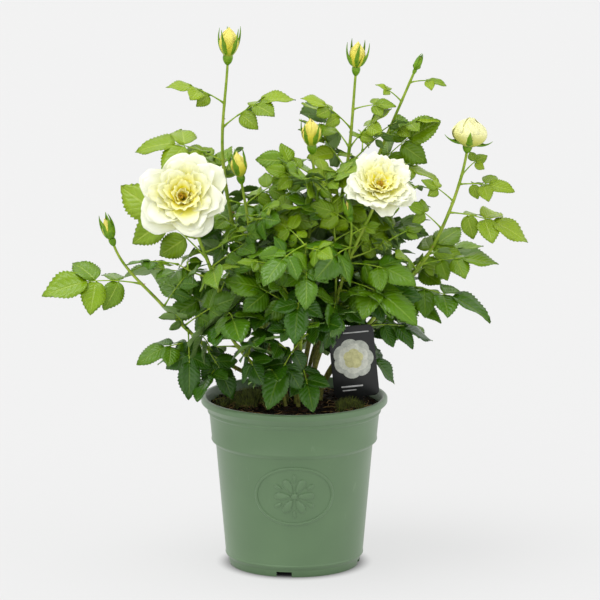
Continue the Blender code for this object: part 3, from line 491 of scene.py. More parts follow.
soil = {
    "top": 168, "clearance": 0.35, "bump": 1.6, "grain": 14, "flat": (35, 80), "rough": 1.3, "roughGrain": 5,
    "profile": ((0, 168), (33, 168), (52, 166.5), (70, 165.5), (86.3, 164.5)),
    "mounds": ((-46, -18, 18, 6), (56, -30, 14, 4)),  # across, back, size, height
    "rings": 46, "steps": 160, "reach": 84,
    "crumbs": 1500, "crumb": (0.7, 2.6, 5), "smallCrumbs": 0.85, "crumbTilt": 0.35,
    "crumbForm": ((0.6, 1.6), (0.4, 0.9), (0.3, 0.6)),
    "fibres": 190, "fibre": (8, 26), "fibreThick": (0.22, 0.5), "fibreBend": 0.35, "fibreLift": (1.2, 1.6),
    "tufts": 90, "blades": 36, "tuftSpread": 2.4, "tuftTall": (0.9, 2.4), "shortBlade": (2, 4),
    "bladeWide": (0.6, 1.2),
}


def soilHeight(x, y):
    far = hypot(x, y)
    level = soil["profile"][-1][1]
    for (nearRadius, nearLevel), (farRadius, farLevel) in zip(soil["profile"], soil["profile"][1:]):
        if far <= farRadius:
            level = nearLevel + (farLevel - nearLevel) * (far - nearRadius) / (farRadius - nearRadius)
            break
    if soil["flat"][0] <= far <= soil["flat"][1]:
        level += soil["bump"] * noise.noise(Vector((x, y, 0)) / soil["grain"])
        for moundX, moundY, size, height in soil["mounds"]:
            level += height * exp(-((x - moundX) ** 2 + (y - moundY) ** 2) / size ** 2)
    return level


def makeCompost(finish):
    bm = bmesh.new()
    wall, top, gap = pot["inside"], soil["top"], soil["clearance"]
    surface = [(soil["profile"][-1][0] * n / soil["rings"], top) for n in range(soil["rings"] + 1)]
    sides = [(r - gap, z) for r, z in wall[5:2:-1]]
    foot = [(wall[2][0] - gap, wall[2][1]), (wall[1][0], wall[1][1] + 0.3), (0, wall[1][1] + 0.3)]
    spinProfile(bm, surface + sides + foot, soil["steps"])
    for vert in bm.verts:
        if vert.co.z > top - 1:
            x, y, _ = vert.co
            rough = noise.fractal(Vector((x, y, 0)) / soil["roughGrain"], 1.0, 2.0, 4) * soil["rough"]
            vert.co.z = soilHeight(x, y) + rough
    placePiece("compost_bed", bm, [finish], ["compost"])


def scatter(luck, reach):
    # a place in the pot's mouth
    angle, far = luck.uniform(0, 2 * pi), reach * sqrt(luck.random())
    return far * cos(angle), far * sin(angle)


def makeCrumbs(finish):
    luck = random.Random(seeds["crumbs"])
    bm = bmesh.new()
    shape = bmesh.new()
    bmesh.ops.create_icosphere(shape, subdivisions=1, radius=1)
    template = keepTemplate("crumb", shape)
    small, middling, large = soil["crumb"]
    for _ in range(soil["crumbs"]):
        x, y = scatter(luck, soil["reach"])
        sizes = (small, middling) if luck.random() < soil["smallCrumbs"] else (middling, large)
        size = luck.uniform(*sizes)
        form = Vector([luck.uniform(*span) for span in soil["crumbForm"]]) * size
        turn = Matrix.Rotation(luck.uniform(0, 6.3), 3, "Z")
        turn = turn @ Matrix.Rotation(luck.gauss(0, soil["crumbTilt"]), 3, "X")
        place = Vector((x, y, soilHeight(x, y) + form.z * 0.4 + 0.3))
        seed = luck.uniform(0, 100)

        def lump(cx, cy, cz):
            swell = 1 + 0.35 * noise.noise(Vector((cx + seed, cy, cz)) * 1.7)
            return place + turn @ (Vector((cx, cy, cz)) * form * swell)
        growCopy(bm, template, lump)
    placePiece("bark_crumbs", bm, [finish], smoothAngle=40)


def makeFibres(finish):
    luck = random.Random(seeds["fibres"])
    bm = bmesh.new()
    template, (low, arch) = tubeTemplate("fibre", 4, 6), soil["fibreLift"]
    for number in range(soil["fibres"]):
        if number % 2:
            moundX, moundY, size, _ = soil["mounds"][number // 2 % 2]
            x, y = moundX + luck.gauss(0, size * 0.7), moundY + luck.gauss(0, size * 0.6)
        else:
            x, y = scatter(luck, soil["flat"][1])
        angle, long = luck.uniform(0, 6.3), luck.uniform(*soil["fibre"])
        bend, thick = luck.uniform(-soil["fibreBend"], soil["fibreBend"]), luck.uniform(*soil["fibreThick"])
        run = Vector((cos(angle), sin(angle), 0)) * long
        side = Vector((-run.y, run.x, 0)) * bend
        start = Vector((x, y, 0)) - run / 2

        def at(share):
            place = start + run * share + side * sin(pi * share)
            far = hypot(place.x, place.y)
            if far > soil["reach"]:
                place *= soil["reach"] / far
            place.z = soilHeight(place.x, place.y) + low + arch * sin(pi * share)
            return place
        growTube(bm, template, at, lambda s, x, y: thick * (1 - 0.6 * s), step=0.04)
    placePiece("dry_fibres", bm, [finish])


def makeMoss(finish):
    # short blades in tufts on the mounds; a tuft is highest in its middle and falls open
    luck = random.Random(seeds["moss"])
    bm = bmesh.new()
    template = tubeTemplate("mossBlade", 3, 1, 0.12)
    spread = soil["tuftSpread"]
    for number in range(soil["tufts"]):
        moundX, moundY, size, height = soil["mounds"][0 if number % 3 else 1]
        tuftX, tuftY = moundX + luck.gauss(0, size * 0.5), moundY + luck.gauss(0, size * 0.45)
        tall = height * luck.uniform(*soil["tuftTall"])
        for _ in range(soil["blades"]):
            x, y = tuftX + luck.gauss(0, spread), tuftY + luck.gauss(0, spread)
            if hypot(x, y) > soil["reach"]:
                continue
            out = hypot(x - tuftX, y - tuftY)
            long = tall * exp(-out * out / 22) + luck.uniform(*soil["shortBlade"])
            wide = luck.uniform(*soil["bladeWide"]) / 2
            lean = Matrix.Rotation(luck.uniform(0, 6.3), 3, "Z")
            lean = lean @ Matrix.Rotation(luck.uniform(0, 0.8), 3, "X")
            foot = Vector((x, y, soilHeight(x, y) - 0.2))
            growCopy(bm, template, lambda cx, cy, cz: foot + lean @ Vector((cx * wide, cy * wide, cz * long)))
    placePiece("moss_tufts", bm, [finish])


# damp peat is near black and dull, and chips of bark on it are a little browner, each its own shade
makeCompost(grainyFinish("moist_peat", "#060402", "#160e07", 2.5, 0.93, 0.9, Specular_IOR_Level=0.2))
makeCrumbs(grainyFinish("bark_chip", "#0b0603", "#35210f", 3, 0.88, 0.4, 0.4, Specular_IOR_Level=0.2))
# dry coir is straw-coloured, and moss is olive, dark at some blades and yellowish at others
makeFibres(grainyFinish("coir_fibre", "#4b3519", "#a98a54", 4, 0.85, 0.1, 0.4))
makeMoss(grainyFinish("moss_blade", "#2c3208", "#74802c", 5, 0.8, 0.2, 0.4))
print("compost, crumbs, fibres and moss")


# plant label

label = {
    "card": (46, 74), "corner": 6, "cornerSteps": 8, "stake": (12, 58), "stakePoint": 0.8, "thick": 0.8,
    "edgeRound": 0.18, "foot": (64, -14, 176), "lean": -5.7, "ink": 0.07,
    "rosette": (0, 40),
    "whorls": ((7, 13, 9.2, 0), (6, 9.4, 7.4, 24), (5, 5.8, 5.4, 10), (3, 2.6, 3.4, 40)),
    "bars": ((-4, 11.5, 22, 1.5), (-7, 7.6, 14, 1), (5, 67, 26, 1.2)),
    "inks": (("#b2b6ac", "#dcded4"), ("#c9cbbe", "#eeefe4"), ("#c2bf86", "#e6e2a8"),
             ("#b5b5b5", "#d8d8d8")),
}


def makeCard(finish, stand):
    half, height = label["card"][0] / 2, label["card"][1]
    corner, steps = label["corner"], label["cornerSteps"]
    outline = []
    for z, start in ((height - corner, 90), (corner, 0)):
        for step in range(steps + 1):
            angle = radians(start - 90 * step / steps)
            outline.append((half - corner + corner * cos(angle), z + corner * sin(angle)))
    stake, deep = label["stake"][0] / 2, label["stake"][1]
    outline += [(stake, 0), (stake, -deep * label["stakePoint"])]
    outline += [(0, -deep)] + [(-x, z) for x, z in reversed(outline)]
    bm = bmesh.new()
    verts = [bm.verts.new((x, -label["thick"] / 2, z)) for x, z in outline]
    face = bmesh.ops.contextual_create(bm, geom=verts)["faces"][0]
    fresh = bmesh.ops.extrude_face_region(bm, geom=[face], use_keep_orig=True)["geom"]
    bmesh.ops.translate(bm, verts=[v for v in fresh if isinstance(v, bmesh.types.BMVert)],
                        vec=(0, label["thick"], 0))
    rims = [e for e in bm.edges if e.is_manifold and e.calc_face_angle() > 1.2]
    bmesh.ops.bevel(bm, geom=rims, offset=label["edgeRound"], affect="EDGES", segments=2, profile=0.5,
                    material=-1)
    bm.transform(stand)
    placePiece("label_card", bm, [finish], ["plant_label"], smoothAngle=35)


def makePrint(finishes, stand):
    # a plain pale rosette and blank bars, as thin films of ink
    bm = bmesh.new()
    front, ink = -label["thick"] / 2, label["ink"]
    centreX, centreZ = label["rosette"]

    def paint(made, tone):
        for face in {f for v in made["verts"] for f in v.link_faces}:
            face.material_index = tone
    layer = 0
    for tone, (count, reach, size, turn) in enumerate(label["whorls"]):
        for number in range(count):
            layer += 1
            angle = radians(360 * number / count + turn)
            spot = (centreX + reach * cos(angle), front - ink * layer * 0.25,
                    centreZ + reach * sin(angle))
            shape = (Matrix.Translation(spot) @ Matrix.Rotation(-angle, 4, "Y")
                     @ Matrix.Diagonal((size * 0.85, ink, size, 1)) @ Matrix.Rotation(pi / 2, 4, "X"))
            paint(bmesh.ops.create_cone(bm, cap_ends=True, segments=20, radius1=1, radius2=0.86, depth=1,
                                        matrix=shape), min(tone, 2))
    for x, z, wide, high in label["bars"]:
        shape = Matrix.Translation((x, front - ink / 2, z)) @ Matrix.Diagonal((wide, ink, high, 1))
        paint(bmesh.ops.create_cube(bm, size=1, matrix=shape), 3)
    bm.transform(stand)
    placePiece("label_print", bm, finishes, smoothAngle=30)


labelStand = Matrix.Translation(label["foot"]) @ Matrix.Rotation(radians(label["lean"]), 4, "Y")
# sheet plastic, punched out: smooth, black and softly shiny; the ink on it is duller
makeCard(grainyFinish("black_polypropylene", "#0c0d0e", "#17181a", 20, 0.32, 0.02), labelStand)
makePrint([grainyFinish(f"screen_ink_{n}", *shades, 5, 0.45, 0.02) for n, shades in enumerate(label["inks"])],
          labelStand)
print("label")


# canes: the solids' own rule, in millimetres

canePlans = {
    "low_left": dict(
        foot=(-24, -6), knee=(-80, -25, 222), shoulder=(-135, -45, 280), tip=(-181, -59, 343),
        face=(-0.3, -0.1, 0.95), thick=(3.2, 1.8), bare=0.24,
        leaves=((0.79, -168, -3, 102), (0.65, 30, 45, 60), (0.95, -10, 20, 56), (0.86, 25, 5, 48),
                (0.43, -155, -10, 72), (0.35, -138, -5, 76), (0.29, -115, -22, 72), (0.5, -125, 40, 52)),
        rule=(2, 0.28, 0.6, 3)),
    "tall_left": dict(
        foot=(-16, 8), knee=(-50, 20, 290), shoulder=(-72, 10, 414), tip=(-67, 0, 518),
        thick=(3.6, 1.8), bare=0.2,
        leaves=((0.88, -170, 20, 63), (0.81, 8, 24, 80), (0.71, 165, 8, 95)),
        rule=(7, 0.24, 0.64, 5)),
    "rose_left": dict(
        foot=(-18, -18), knee=(-60, -35, 249), shoulder=(-84, -48, 316), tip=(-110, -58, 386),
        face=(-0.05, -0.92, 0.38), thick=(3.4, 2.0), bare=0.25,
        leaves=((0.72, 155, 34, 118), (0.68, 165, 24, 104), (0.62, -160, 48, 64), (0.56, -35, 58, 50)),
        rule=(5, 0.28, 0.7, 7)),
    "mid_left": dict(
        foot=(-8, -3), knee=(-40, -20, 278), shoulder=(-45, -30, 350), tip=(-53, -35, 402),
        thick=(3.0, 1.8), bare=0.2, leaves=((0.9, 20, 25, 60), (0.82, -60, 10, 62)),
        rule=(7, 0.26, 0.85, 11)),
    "centre": dict(
        foot=(2, -12), knee=(5, -12, 276), shoulder=(20, -20, 381), tip=(18, -25, 431),
        thick=(3.4, 1.8), bare=0.25, leaves=((0.96, 180, 30, 84), (0.9, -165, 20, 64), (0.86, -20, 22, 62)),
        rule=(8, 0.28, 0.88, 13)),
    "tall_centre": dict(
        foot=(8, 5), knee=(40, 20, 332), shoulder=(55, 18, 420), tip=(62, 10, 505),
        thick=(3.8, 1.8), bare=0.25,
        leaves=((0.83, -168, 36, 62), (0.89, 0, 6, 44), (0.77, -14, 45, 62)),
        rule=(8, 0.28, 0.72, 17)),
    "tall_right": dict(
        foot=(18, 12), knee=(57, 22, 342), shoulder=(85, 35, 415), tip=(121, 30, 502),
        thick=(3.4, 1.8), bare=0.28,
        leaves=((0.97, 0, -4, 38), (0.91, 180, 35, 32), (0.8, -11, 18, 58), (0.72, -9, -14, 68)),
        rule=(7, 0.3, 0.72, 19)),
    "far_right": dict(
        foot=(26, -2), knee=(87, 0, 263), shoulder=(140, -8, 330), tip=(174, -15, 431),
        face=(0.12, -0.2, 0.97), thick=(3.6, 1.9), bare=0.18,
        leaves=((0.91, 20, 35, 34), (0.88, -10, -4, 57), (0.78, -7, -17, 86), (0.82, -170, 36, 40),
                (0.72, -163, 38, 46), (0.58, -11, 4, 80), (0.49, -12, -17, 98), (0.43, -24, -20, 60),
                (0.23, -6, -44, 70)),
        rule=(4, 0.22, 0.65, 23)),
    "rose_right": dict(
        foot=(15, -18), knee=(39, -30, 264), shoulder=(54, -42, 320), tip=(84, -54, 393),
        face=(0.1, -0.72, 0.69), thick=(3.4, 2.0), bare=0.3,
        leaves=((0.58, -32, -30, 98), (0.66, -25, -7, 82), (0.46, -104, -42, 52), (0.8, -175, 30, 60)),
        rule=(6, 0.33, 0.85, 29)),
    "back_left": dict(
        foot=(-10, 20), knee=(-40, 55, 265), shoulder=(-60, 80, 318), tip=(-75, 95, 358),
        thick=(3.2, 1.8), bare=0.28, leaves=((0.9, 120, 15, 80), (0.8, 175, 5, 78)),
        rule=(5, 0.32, 0.85, 31)),
    "back": dict(
        leafyTip=True, foot=(1, 16), knee=(2, 60, 270), shoulder=(5, 90, 335), tip=(5, 108, 385),
        thick=(3.2, 1.8), bare=0.3, leaves=((0.97, 95, 10, 80),),
        rule=(6, 0.35, 0.9, 37)),
    "back_right": dict(
        foot=(12, 24), knee=(40, 60, 270), shoulder=(62, 85, 322), tip=(75, 100, 361),
        thick=(3.2, 1.8), bare=0.28, leaves=((0.9, 60, 15, 80), (0.8, 10, 0, 78)),
        rule=(5, 0.32, 0.85, 41)),
    "low_right": dict(
        leafyTip=True, foot=(27, 10), knee=(65, 35, 225), shoulder=(100, 58, 265), tip=(130, 75, 300),
        thick=(2.8, 1.8), bare=0.3, leaves=((0.97, 20, 0, 80), (0.75, 65, -10, 82)),
        rule=(4, 0.35, 0.85, 43)),
    "low_back_left": dict(
        leafyTip=True, foot=(-24, 12), knee=(-60, 35, 220), shoulder=(-88, 58, 255), tip=(-110, 75, 290),
        thick=(2.8, 1.8), bare=0.3, leaves=((0.97, 155, -5, 76), (0.75, 110, -15, 80)),
        rule=(4, 0.35, 0.85, 47)),
    "low_back": dict(
        foot=(2, 28), knee=(8, 70, 225), shoulder=(10, 105, 252), tip=(12, 128, 284),
        face=(0.05, 0.75, 0.66), thick=(2.8, 2.0), bare=0.3,
        leaves=((0.8, 60, -8, 80), (0.7, 130, -12, 82)),
        rule=(3, 0.35, 0.8, 53)),
    "front": dict(
        leafyTip=True, foot=(4, -26), knee=(6, -50, 225), shoulder=(8, -75, 290), tip=(12, -90, 350),
        thick=(2.8, 1.8), bare=0.2,
        leaves=((0.9, -143, 10, 56), (0.97, -60, 0, 50), (0.43, -130, -48, 82), (0.52, -150, -2, 70),
                (0.3, -75, -38, 66), (0.98, 150, 25, 58)),
        rule=(5, 0.3, 0.9, 59)),
    "low_front": dict(
        leafyTip=True, foot=(-9, -27), knee=(-32, -48, 215), shoulder=(-55, -68, 240), tip=(-75, -82, 262),
        thick=(2.6, 1.8), bare=0.3, leaves=((0.97, -150, -10, 60), (0.7, -70, -25, 60)),
        rule=(3, 0.4, 0.95, 61)),
}

leafRule = {
    "pairs": (0.24, 0.44), "singlePair": 0.48, "lateralLength": (0.30, 0.36), "lateralSpread": (72, 66),
    "lateralHang": (38, 12), "faceOut": 45, "frontTurn": 30, "backHalf": 45, "smallLeaf": 50,
    "arch": (0.08, 0.2), "outlineTwist": 12,
    "outlineTries": ((0, 1), (-7, 0.97), (7, 0.97), (-14, 0.92), (14, 0.92), (0, 0.8)),
    "goldenAngle": 137.5, "tries": 7, "place": (0.2, 0.8), "turn": (12, 25), "rise": (-12, 38), "twist": 30,
    "length": (78, 98), "shrink": 0.05,
}


class Route:
    # a smooth curve through a cane's foot, knee, shoulder and tip, upright where it leaves the soil
    spans = 40

    def __init__(self, corners, end=None):
        last = corners[3] - corners[2]
        end = Vector(end).normalized() * last.length if end else last
        pulls = [upward * (corners[1] - corners[0]).length, (corners[2] - corners[0]) / 2,
                 (corners[3] - corners[1]) / 2, end]
        self.points = [self.blend(corners, pulls, start, step / self.spans)
                       for start in range(3) for step in range(self.spans)] + [corners[3]]
        self.runs = [0]
        for a, b in zip(self.points, self.points[1:]):
            self.runs.append(self.runs[-1] + (b - a).length)
        self.length = self.runs[-1]

    @staticmethod
    def blend(corners, pulls, start, u):
        return ((2 * u**3 - 3 * u * u + 1) * corners[start] + (u**3 - 2 * u * u + u) * pulls[start]
                + (3 * u * u - 2 * u**3) * corners[start + 1] + (u**3 - u * u) * pulls[start + 1])

    def at(self, share):
        run = min(max(share, 0), 1) * self.length
        i = min(max(bisect.bisect(self.runs, run) - 1, 0), len(self.points) - 2)
        part = (run - self.runs[i]) / (self.runs[i + 1] - self.runs[i])
        return self.points[i].lerp(self.points[i + 1], part)

    def heading(self, share, step=0.01):
        return (self.at(share + step) - self.at(share - step)).normalized()


def caneRoute(plan):
    corners = [Vector((*plan["foot"], soil["top"] + 0.3))]
    corners += [Vector(plan[name]) for name in ("knee", "shoulder", "tip")]
    return Route(corners, plan.get("face"))


def direction(azimuth, rise):
    a, r = radians(azimuth), radians(rise)
    return Vector((cos(a) * cos(r), sin(a) * cos(r), sin(r)))


def quadratic(a, b, c):
    return lambda s: a * (1 - s)**2 + b * 2 * s * (1 - s) + c * s**2


class Leaf:
    # a compound leaf: an arching midrib that carries pairs of leaflets and one at its end;
    # its share says how far out on its cane it stands, and so how young it is
    def __init__(self, base, azimuth, rise, length, arch, roll, small, share):
        chord = direction(azimuth, rise) * length
        self.ends = base, base + chord / 2 + upward * arch * length, base + chord
        self.at = quadratic(*self.ends)
        self.length, self.share = length, share
        outward = (base + chord / 2) * Vector((1, 1, 0))
        across = upward.cross(chord).normalized()
        self.roll = radians(roll - leafRule["faceOut"] * across.dot(outward.normalized()))
        self.pairs = (leafRule["singlePair"],) if small else leafRule["pairs"]

    def frame(self, share):
        # forward, left and the upper side's normal
        a, b, c = self.ends
        forward = ((b - a) * (1 - share) + (c - b) * share).normalized()
        left = Matrix.Rotation(self.roll, 3, forward) @ upward.cross(forward).normalized()
        return forward, left, forward.cross(left)


def leafTries(plan, route, luck):
    # the same draws, in the same order, as the solids' rule
    small = leafRule["smallLeaf"]
    for share, azimuth, rise, length in plan["leaves"]:
        front = 1 if route.at(share).y < leafRule["backHalf"] else -1
        roll = front * leafRule["frontTurn"] * cos(radians(azimuth))
        roll += luck.uniform(-leafRule["outlineTwist"], leafRule["outlineTwist"])
        yield [(share, azimuth + turn, rise, length * size, roll, length < small)
               for turn, size in leafRule["outlineTries"]]
    count, first, last, _ = plan["rule"]
    start = luck.uniform(0, 360)
    for number in range(count):
        tries = []
        for attempt in range(leafRule["tries"]):
            share = first + (last - first) * (number + luck.uniform(*leafRule["place"])) / count
            turn = leafRule["turn"][0] + leafRule["turn"][1] * attempt
            azimuth = start + leafRule["goldenAngle"] * number + luck.uniform(-turn, turn)
            length = luck.uniform(*leafRule["length"]) * (1 - leafRule["shrink"] * attempt)
            rise = luck.uniform(*leafRule["rise"])
            roll = luck.uniform(-leafRule["twist"], leafRule["twist"])
            tries.append((share, azimuth, rise, length, roll, length < small))
        yield tries


def luckOf(name, growth):
    return random.Random(canePlans[name]["rule"][3] + seeds[growth])


def solidLeaves(name, plan):
    # the leaves that the solid carries: a try counts if the solid has a corner at its tip
    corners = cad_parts["foliage_" + name].data.vertices
    tree = KDTree(len(corners))
    for vert in corners:
        tree.insert(vert.co / mm, vert.index)
    tree.balance()
    luck, route = luckOf(name, "solidLeaves"), routes[name]
    for tries in leafTries(plan, route, luck):
        arch = luck.uniform(*leafRule["arch"])
        for share, azimuth, rise, length, roll, small in tries:
            leaf = Leaf(route.at(share), azimuth, rise, length, arch, roll, small, share)
            if tree.find(leaf.at(1))[2] < 0.05:
                yield leaf
                break


crown = {
    # finer growth: more leaves and short leafy twigs on each cane, inside the room that its solid takes
    "leaves": {"mid_left": 10, "centre": 11, "tall_centre": 8, "rose_left": 5, "rose_right": 8, "front": 9,
               "low_front": 4, "tall_left": 6, "far_right": 3, "low_left": 0, "tall_right": 5,
               "low_back_left": 1},
    "otherLeaves": 4, "leafLength": (72, 102), "leafRise": (-20, 34), "leafShare": (0.2, 0.93),
    "leafTurn": (222.5, 60),  # from one leaf to the next, and how far it may stray
    "leafEnds": {"tall_left": 0.62, "tall_right": 0.66, "tall_centre": 0.78, "far_right": 0.62},
    "twigs": {"mid_left": 5, "centre": 5, "tall_centre": 5, "rose_right": 4, "far_right": 2, "low_left": 0,
              "low_back_left": 1, "tall_left": 2, "low_front": 2},
    "otherTwigs": 3, "twigShare": (0.3, 0.85), "twigLength": (26, 52), "twigRise": (15, 60),
    "twigSag": 0.1, "twigLeaf": (36, 54), "twigLeaves": ((0.55, 75), (0.75, -75), (1, 0)),  # share, turn
    "tries": (8, 10),  # places tried for a leaf and for a twig
    "margin": 6, "lowest": 150,
    # where the sky shows through from the front: across, up, half width, half height
    "openings": ((-23, 389, 14, 11), (18, 361, 8, 9), (33, 361, 4, 12), (-82, 313, 9, 13), (-91, 289, 10, 14),
                 (3, 270, 9, 7), (-40, 213, 8, 13), (-66, 204, 7, 11), (36, 211, 6, 14),
                 (64, 211, 24, 32), (-128, 232, 34, 22), (-150, 210, 40, 30), (-118, 330, 12, 22)),
    "viewSlope": 0.205, "labelSeen": (45, 89, 182, 243, -14),
    "stemSeen": ("rose_right", 0.5, 0.96, 9),  # cane, shares, and how wide a strip stays free before it
    "rosesSeen": ((-111, 373, 46, -48), (84, 381, 38, -46)),  # across, seen height, reach, how far forward
    # larger leaves that hang over the pot's rim: share, azimuth, rise, length, roll
    "placed": {
        "low_left": ((0.5, -86, -62, 72, -40), (0.42, -30, -55, 66, 0)),
        "front": ((0.62, 178, -14, 84, 30), (0.78, -100, -42, 76, 0), (0.93, -88, -36, 70, 0),
                  (0.99, -128, -22, 76, 10)),
        "tall_right": ((0.68, -5, 38, 90, 75),),
        "rose_right": ((0.5, -18, 2, 88, 45), (0.58, -38, -18, 98, 20)),
    },
    "placedArch": 0.16, "placedAge": 0.4,
}
sideShoots = {
    # the cane and share it forks at, turning places, thickness, leaves (share, azimuth, rise, length),
    # and a bud's length, radius, turn and how far its sepals have let go
    "leafy": dict(cane="rose_right", share=0.45, corners=((44, -42, 330), (37, -40, 386)), thick=(1.4, 0.8),
                  leaves=((0.45, 160, 20, 56), (0.62, 20, 15, 50), (0.8, -170, 30, 56), (1, 110, 45, 52),
                          (0.95, -30, 30, 48))),
    "fork": dict(cane="rose_right", share=0.62, corners=((60, -50, 352), (56.5, -51, 366)), thick=(1.3, 1.1),
                 leaves=((0.35, -150, 10, 36), (0.6, 10, 20, 32)), bud=(20, 5, 20, 0.1)),
}


def seen(place):
    # across and up, as the front view shows a place
    return place.x, place.z + crown["viewSlope"] * place.y


def opensToSky(place):
    # whether a place lies before or behind one of the openings
    across, up = seen(place)
    return any(((across - x) / wide)**2 + ((up - z) / high)**2 < 1 for x, z, wide, high in crown["openings"])


def leafletPlaces(leaf):
    # points spread over a leaf's leaflets
    places = [leaf.at(share) for share in (0.6, 0.75, 0.9, 1)]
    for pair in leaf.pairs:
        _, left, normal = leaf.frame(pair)
        for out in (left * 0.9 - normal * 0.3, left * -0.9 - normal * 0.3):
            places += [leaf.at(pair) + out * leaf.length * reach for reach in (0.15, 0.32)]
    return places


def hidesStem(leaf):
    # whether a leaf hangs before the forked stem that shows in front
    name, first, last, reach = crown["stemSeen"]
    stem = [routes[name].at(first + (last - first) * step / 12) for step in range(13)]
    return any(place.y < spot.y and dist(seen(place), seen(spot)) < reach
               for place in leafletPlaces(leaf) for spot in stem)


def inTheWay(leaf):
    # whether any of a leaf's leaflets hangs before the label or an open rose
    lowX, highX, lowZ, highZ, front = crown["labelSeen"]
    for place in leafletPlaces(leaf):
        across, up = seen(place)
        if place.y < front and lowX < across < highX and lowZ < up < highZ:
            return True
        if any(place.y < near and dist((across, up), (x, z)) < reach
               for x, z, reach, near in crown["rosesSeen"]):
            return True
    return False


def keepsToRoom(leaf, name):
    if any(leaf.at(share).z < crown["lowest"] or opensToSky(leaf.at(share)) for share in (0.45, 0.75, 1)):
        return False
    if inTheWay(leaf) or hidesStem(leaf):
        return False
    low, high = rooms[name]
    return all(a / mm - crown["margin"] <= t <= b / mm + crown["margin"]
               for a, t, b in zip(low, leaf.at(1), high))


def fillLeaves(name):
    luck, route = luckOf(name, "finerLeaves"), routes[name]
    first, last = crown["leafShare"]
    last = crown["leafEnds"].get(name, last)
    count = crown["leaves"].get(name, crown["otherLeaves"])
    step, stray = crown["leafTurn"]
    for number in range(count):
        for _ in range(crown["tries"][0]):
            share = first + (last - first) * (number + luck.random()) / count
            leaf = Leaf(route.at(share), step * number + luck.uniform(-stray, stray),
                        luck.uniform(*crown["leafRise"]), luck.uniform(*crown["leafLength"]),
                        luck.uniform(*leafRule["arch"]), luck.uniform(-leafRule["twist"], leafRule["twist"]),
                        False, share)
            if keepsToRoom(leaf, name):
                yield leaf
                break


def growTwigs(name):
    # short side twigs with three leaves each: (path, leaves)
    luck = luckOf(name, "twigs")
    count = crown["twigs"].get(name, crown["otherTwigs"])
    first, last = crown["twigShare"]
    last = crown["leafEnds"].get(name, last)
    for number in range(count):
        for _ in range(crown["tries"][1]):
            share = first + (last - first) * (number + luck.random()) / count
            azimuth, rise = luck.uniform(0, 360), luck.uniform(*crown["twigRise"])
            reach = luck.uniform(*crown["twigLength"])
            foot = routes[name].at(share)
            tip = foot + direction(azimuth, rise) * reach
            path = quadratic(foot, foot.lerp(tip, 0.5) - upward * reach * crown["twigSag"], tip)
            leaves = [Leaf(path(at), azimuth + turn + luck.uniform(-20, 20),
                           rise * 0.4 + luck.uniform(-10, 15), luck.uniform(*crown["twigLeaf"]),
                           luck.uniform(*leafRule["arch"]), luck.uniform(-20, 20), luck.random() < 0.5,
                           min(share + 0.15, 1))
                      for at, turn in crown["twigLeaves"]]
            if all(keepsToRoom(leaf, name) for leaf in leaves):
                yield path, leaves
                break


routes = {name: caneRoute(plan) for name, plan in canePlans.items()}
rooms = {name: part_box("foliage_" + name) for name in canePlans}
foliage = {name: [leaf for leaf in solidLeaves(name, plan)
                  if not inTheWay(leaf) and (name == crown["stemSeen"][0] or not hidesStem(leaf))]
           for name, plan in canePlans.items()}
print("leaves on the solids:", sum(len(leaves) for leaves in foliage.values()))
twigs = {name: list(growTwigs(name)) for name in canePlans}
shoots = {name: quadratic(routes[form["cane"]].at(form["share"]), *map(Vector, form["corners"]))
          for name, form in sideShoots.items()}
for name in canePlans:
    foliage[name] += fillLeaves(name)
for name, rows in crown["placed"].items():
    foliage[name] += [Leaf(routes[name].at(share), azimuth, rise, length, crown["placedArch"], roll, False,
                           crown["placedAge"]) for share, azimuth, rise, length, roll in rows]
print("with the finer growth:", sum(len(leaves) for leaves in foliage.values()),
      "and", sum(len(grown) for grown in twigs.values()), "twigs")


# bark, stems and thorns

wood = {"slim": 0.72, "ridge": 0.05, "fineRidge": 0.05, "nodeSwell": 0.12, "nodeMm": 3.2, "twig": (1.1, 0.6),
        "thornGap": (13, 30), "thorn": (2.6, 4.6), "thornsFrom": 14, "thornsTo": 0.86}


def stemRadius(plan, share):
    low, high = plan["thick"]
    radius = (low + (high - low) * share) * wood["slim"] * (1 + 0.15 * exp(-share * 60))
    if "leafyTip" in plan:  # it thins away into its last leaf
        radius *= 1 - 0.65 * max(0, (share - 0.6) / 0.4)
    return radius


def growThorns(bm, hook, route, plan, luck):
    run = wood["thornsFrom"]
    while run < route.length * wood["thornsTo"]:
        share = run / route.length
        here, ahead = route.at(share), route.heading(share)
        out = Matrix.Rotation(luck.uniform(0, 6.3), 3, ahead) @ ahead.orthogonal().normalized()
        long = luck.uniform(*wood["thorn"]) * (1.1 - 0.5 * share)
        foot, flat = here + out * stemRadius(plan, share) * 0.8, ahead.cross(out)

        def hooked(x, y, z):
            slim = (1 - z * 0.75) * long
            droop = y * slim * 0.42 - long * 0.32 * z * z
            return foot + out * z * long + ahead * droop + flat * x * slim * 0.2
        growCopy(bm, hook, hooked)
        run += luck.uniform(*wood["thornGap"])


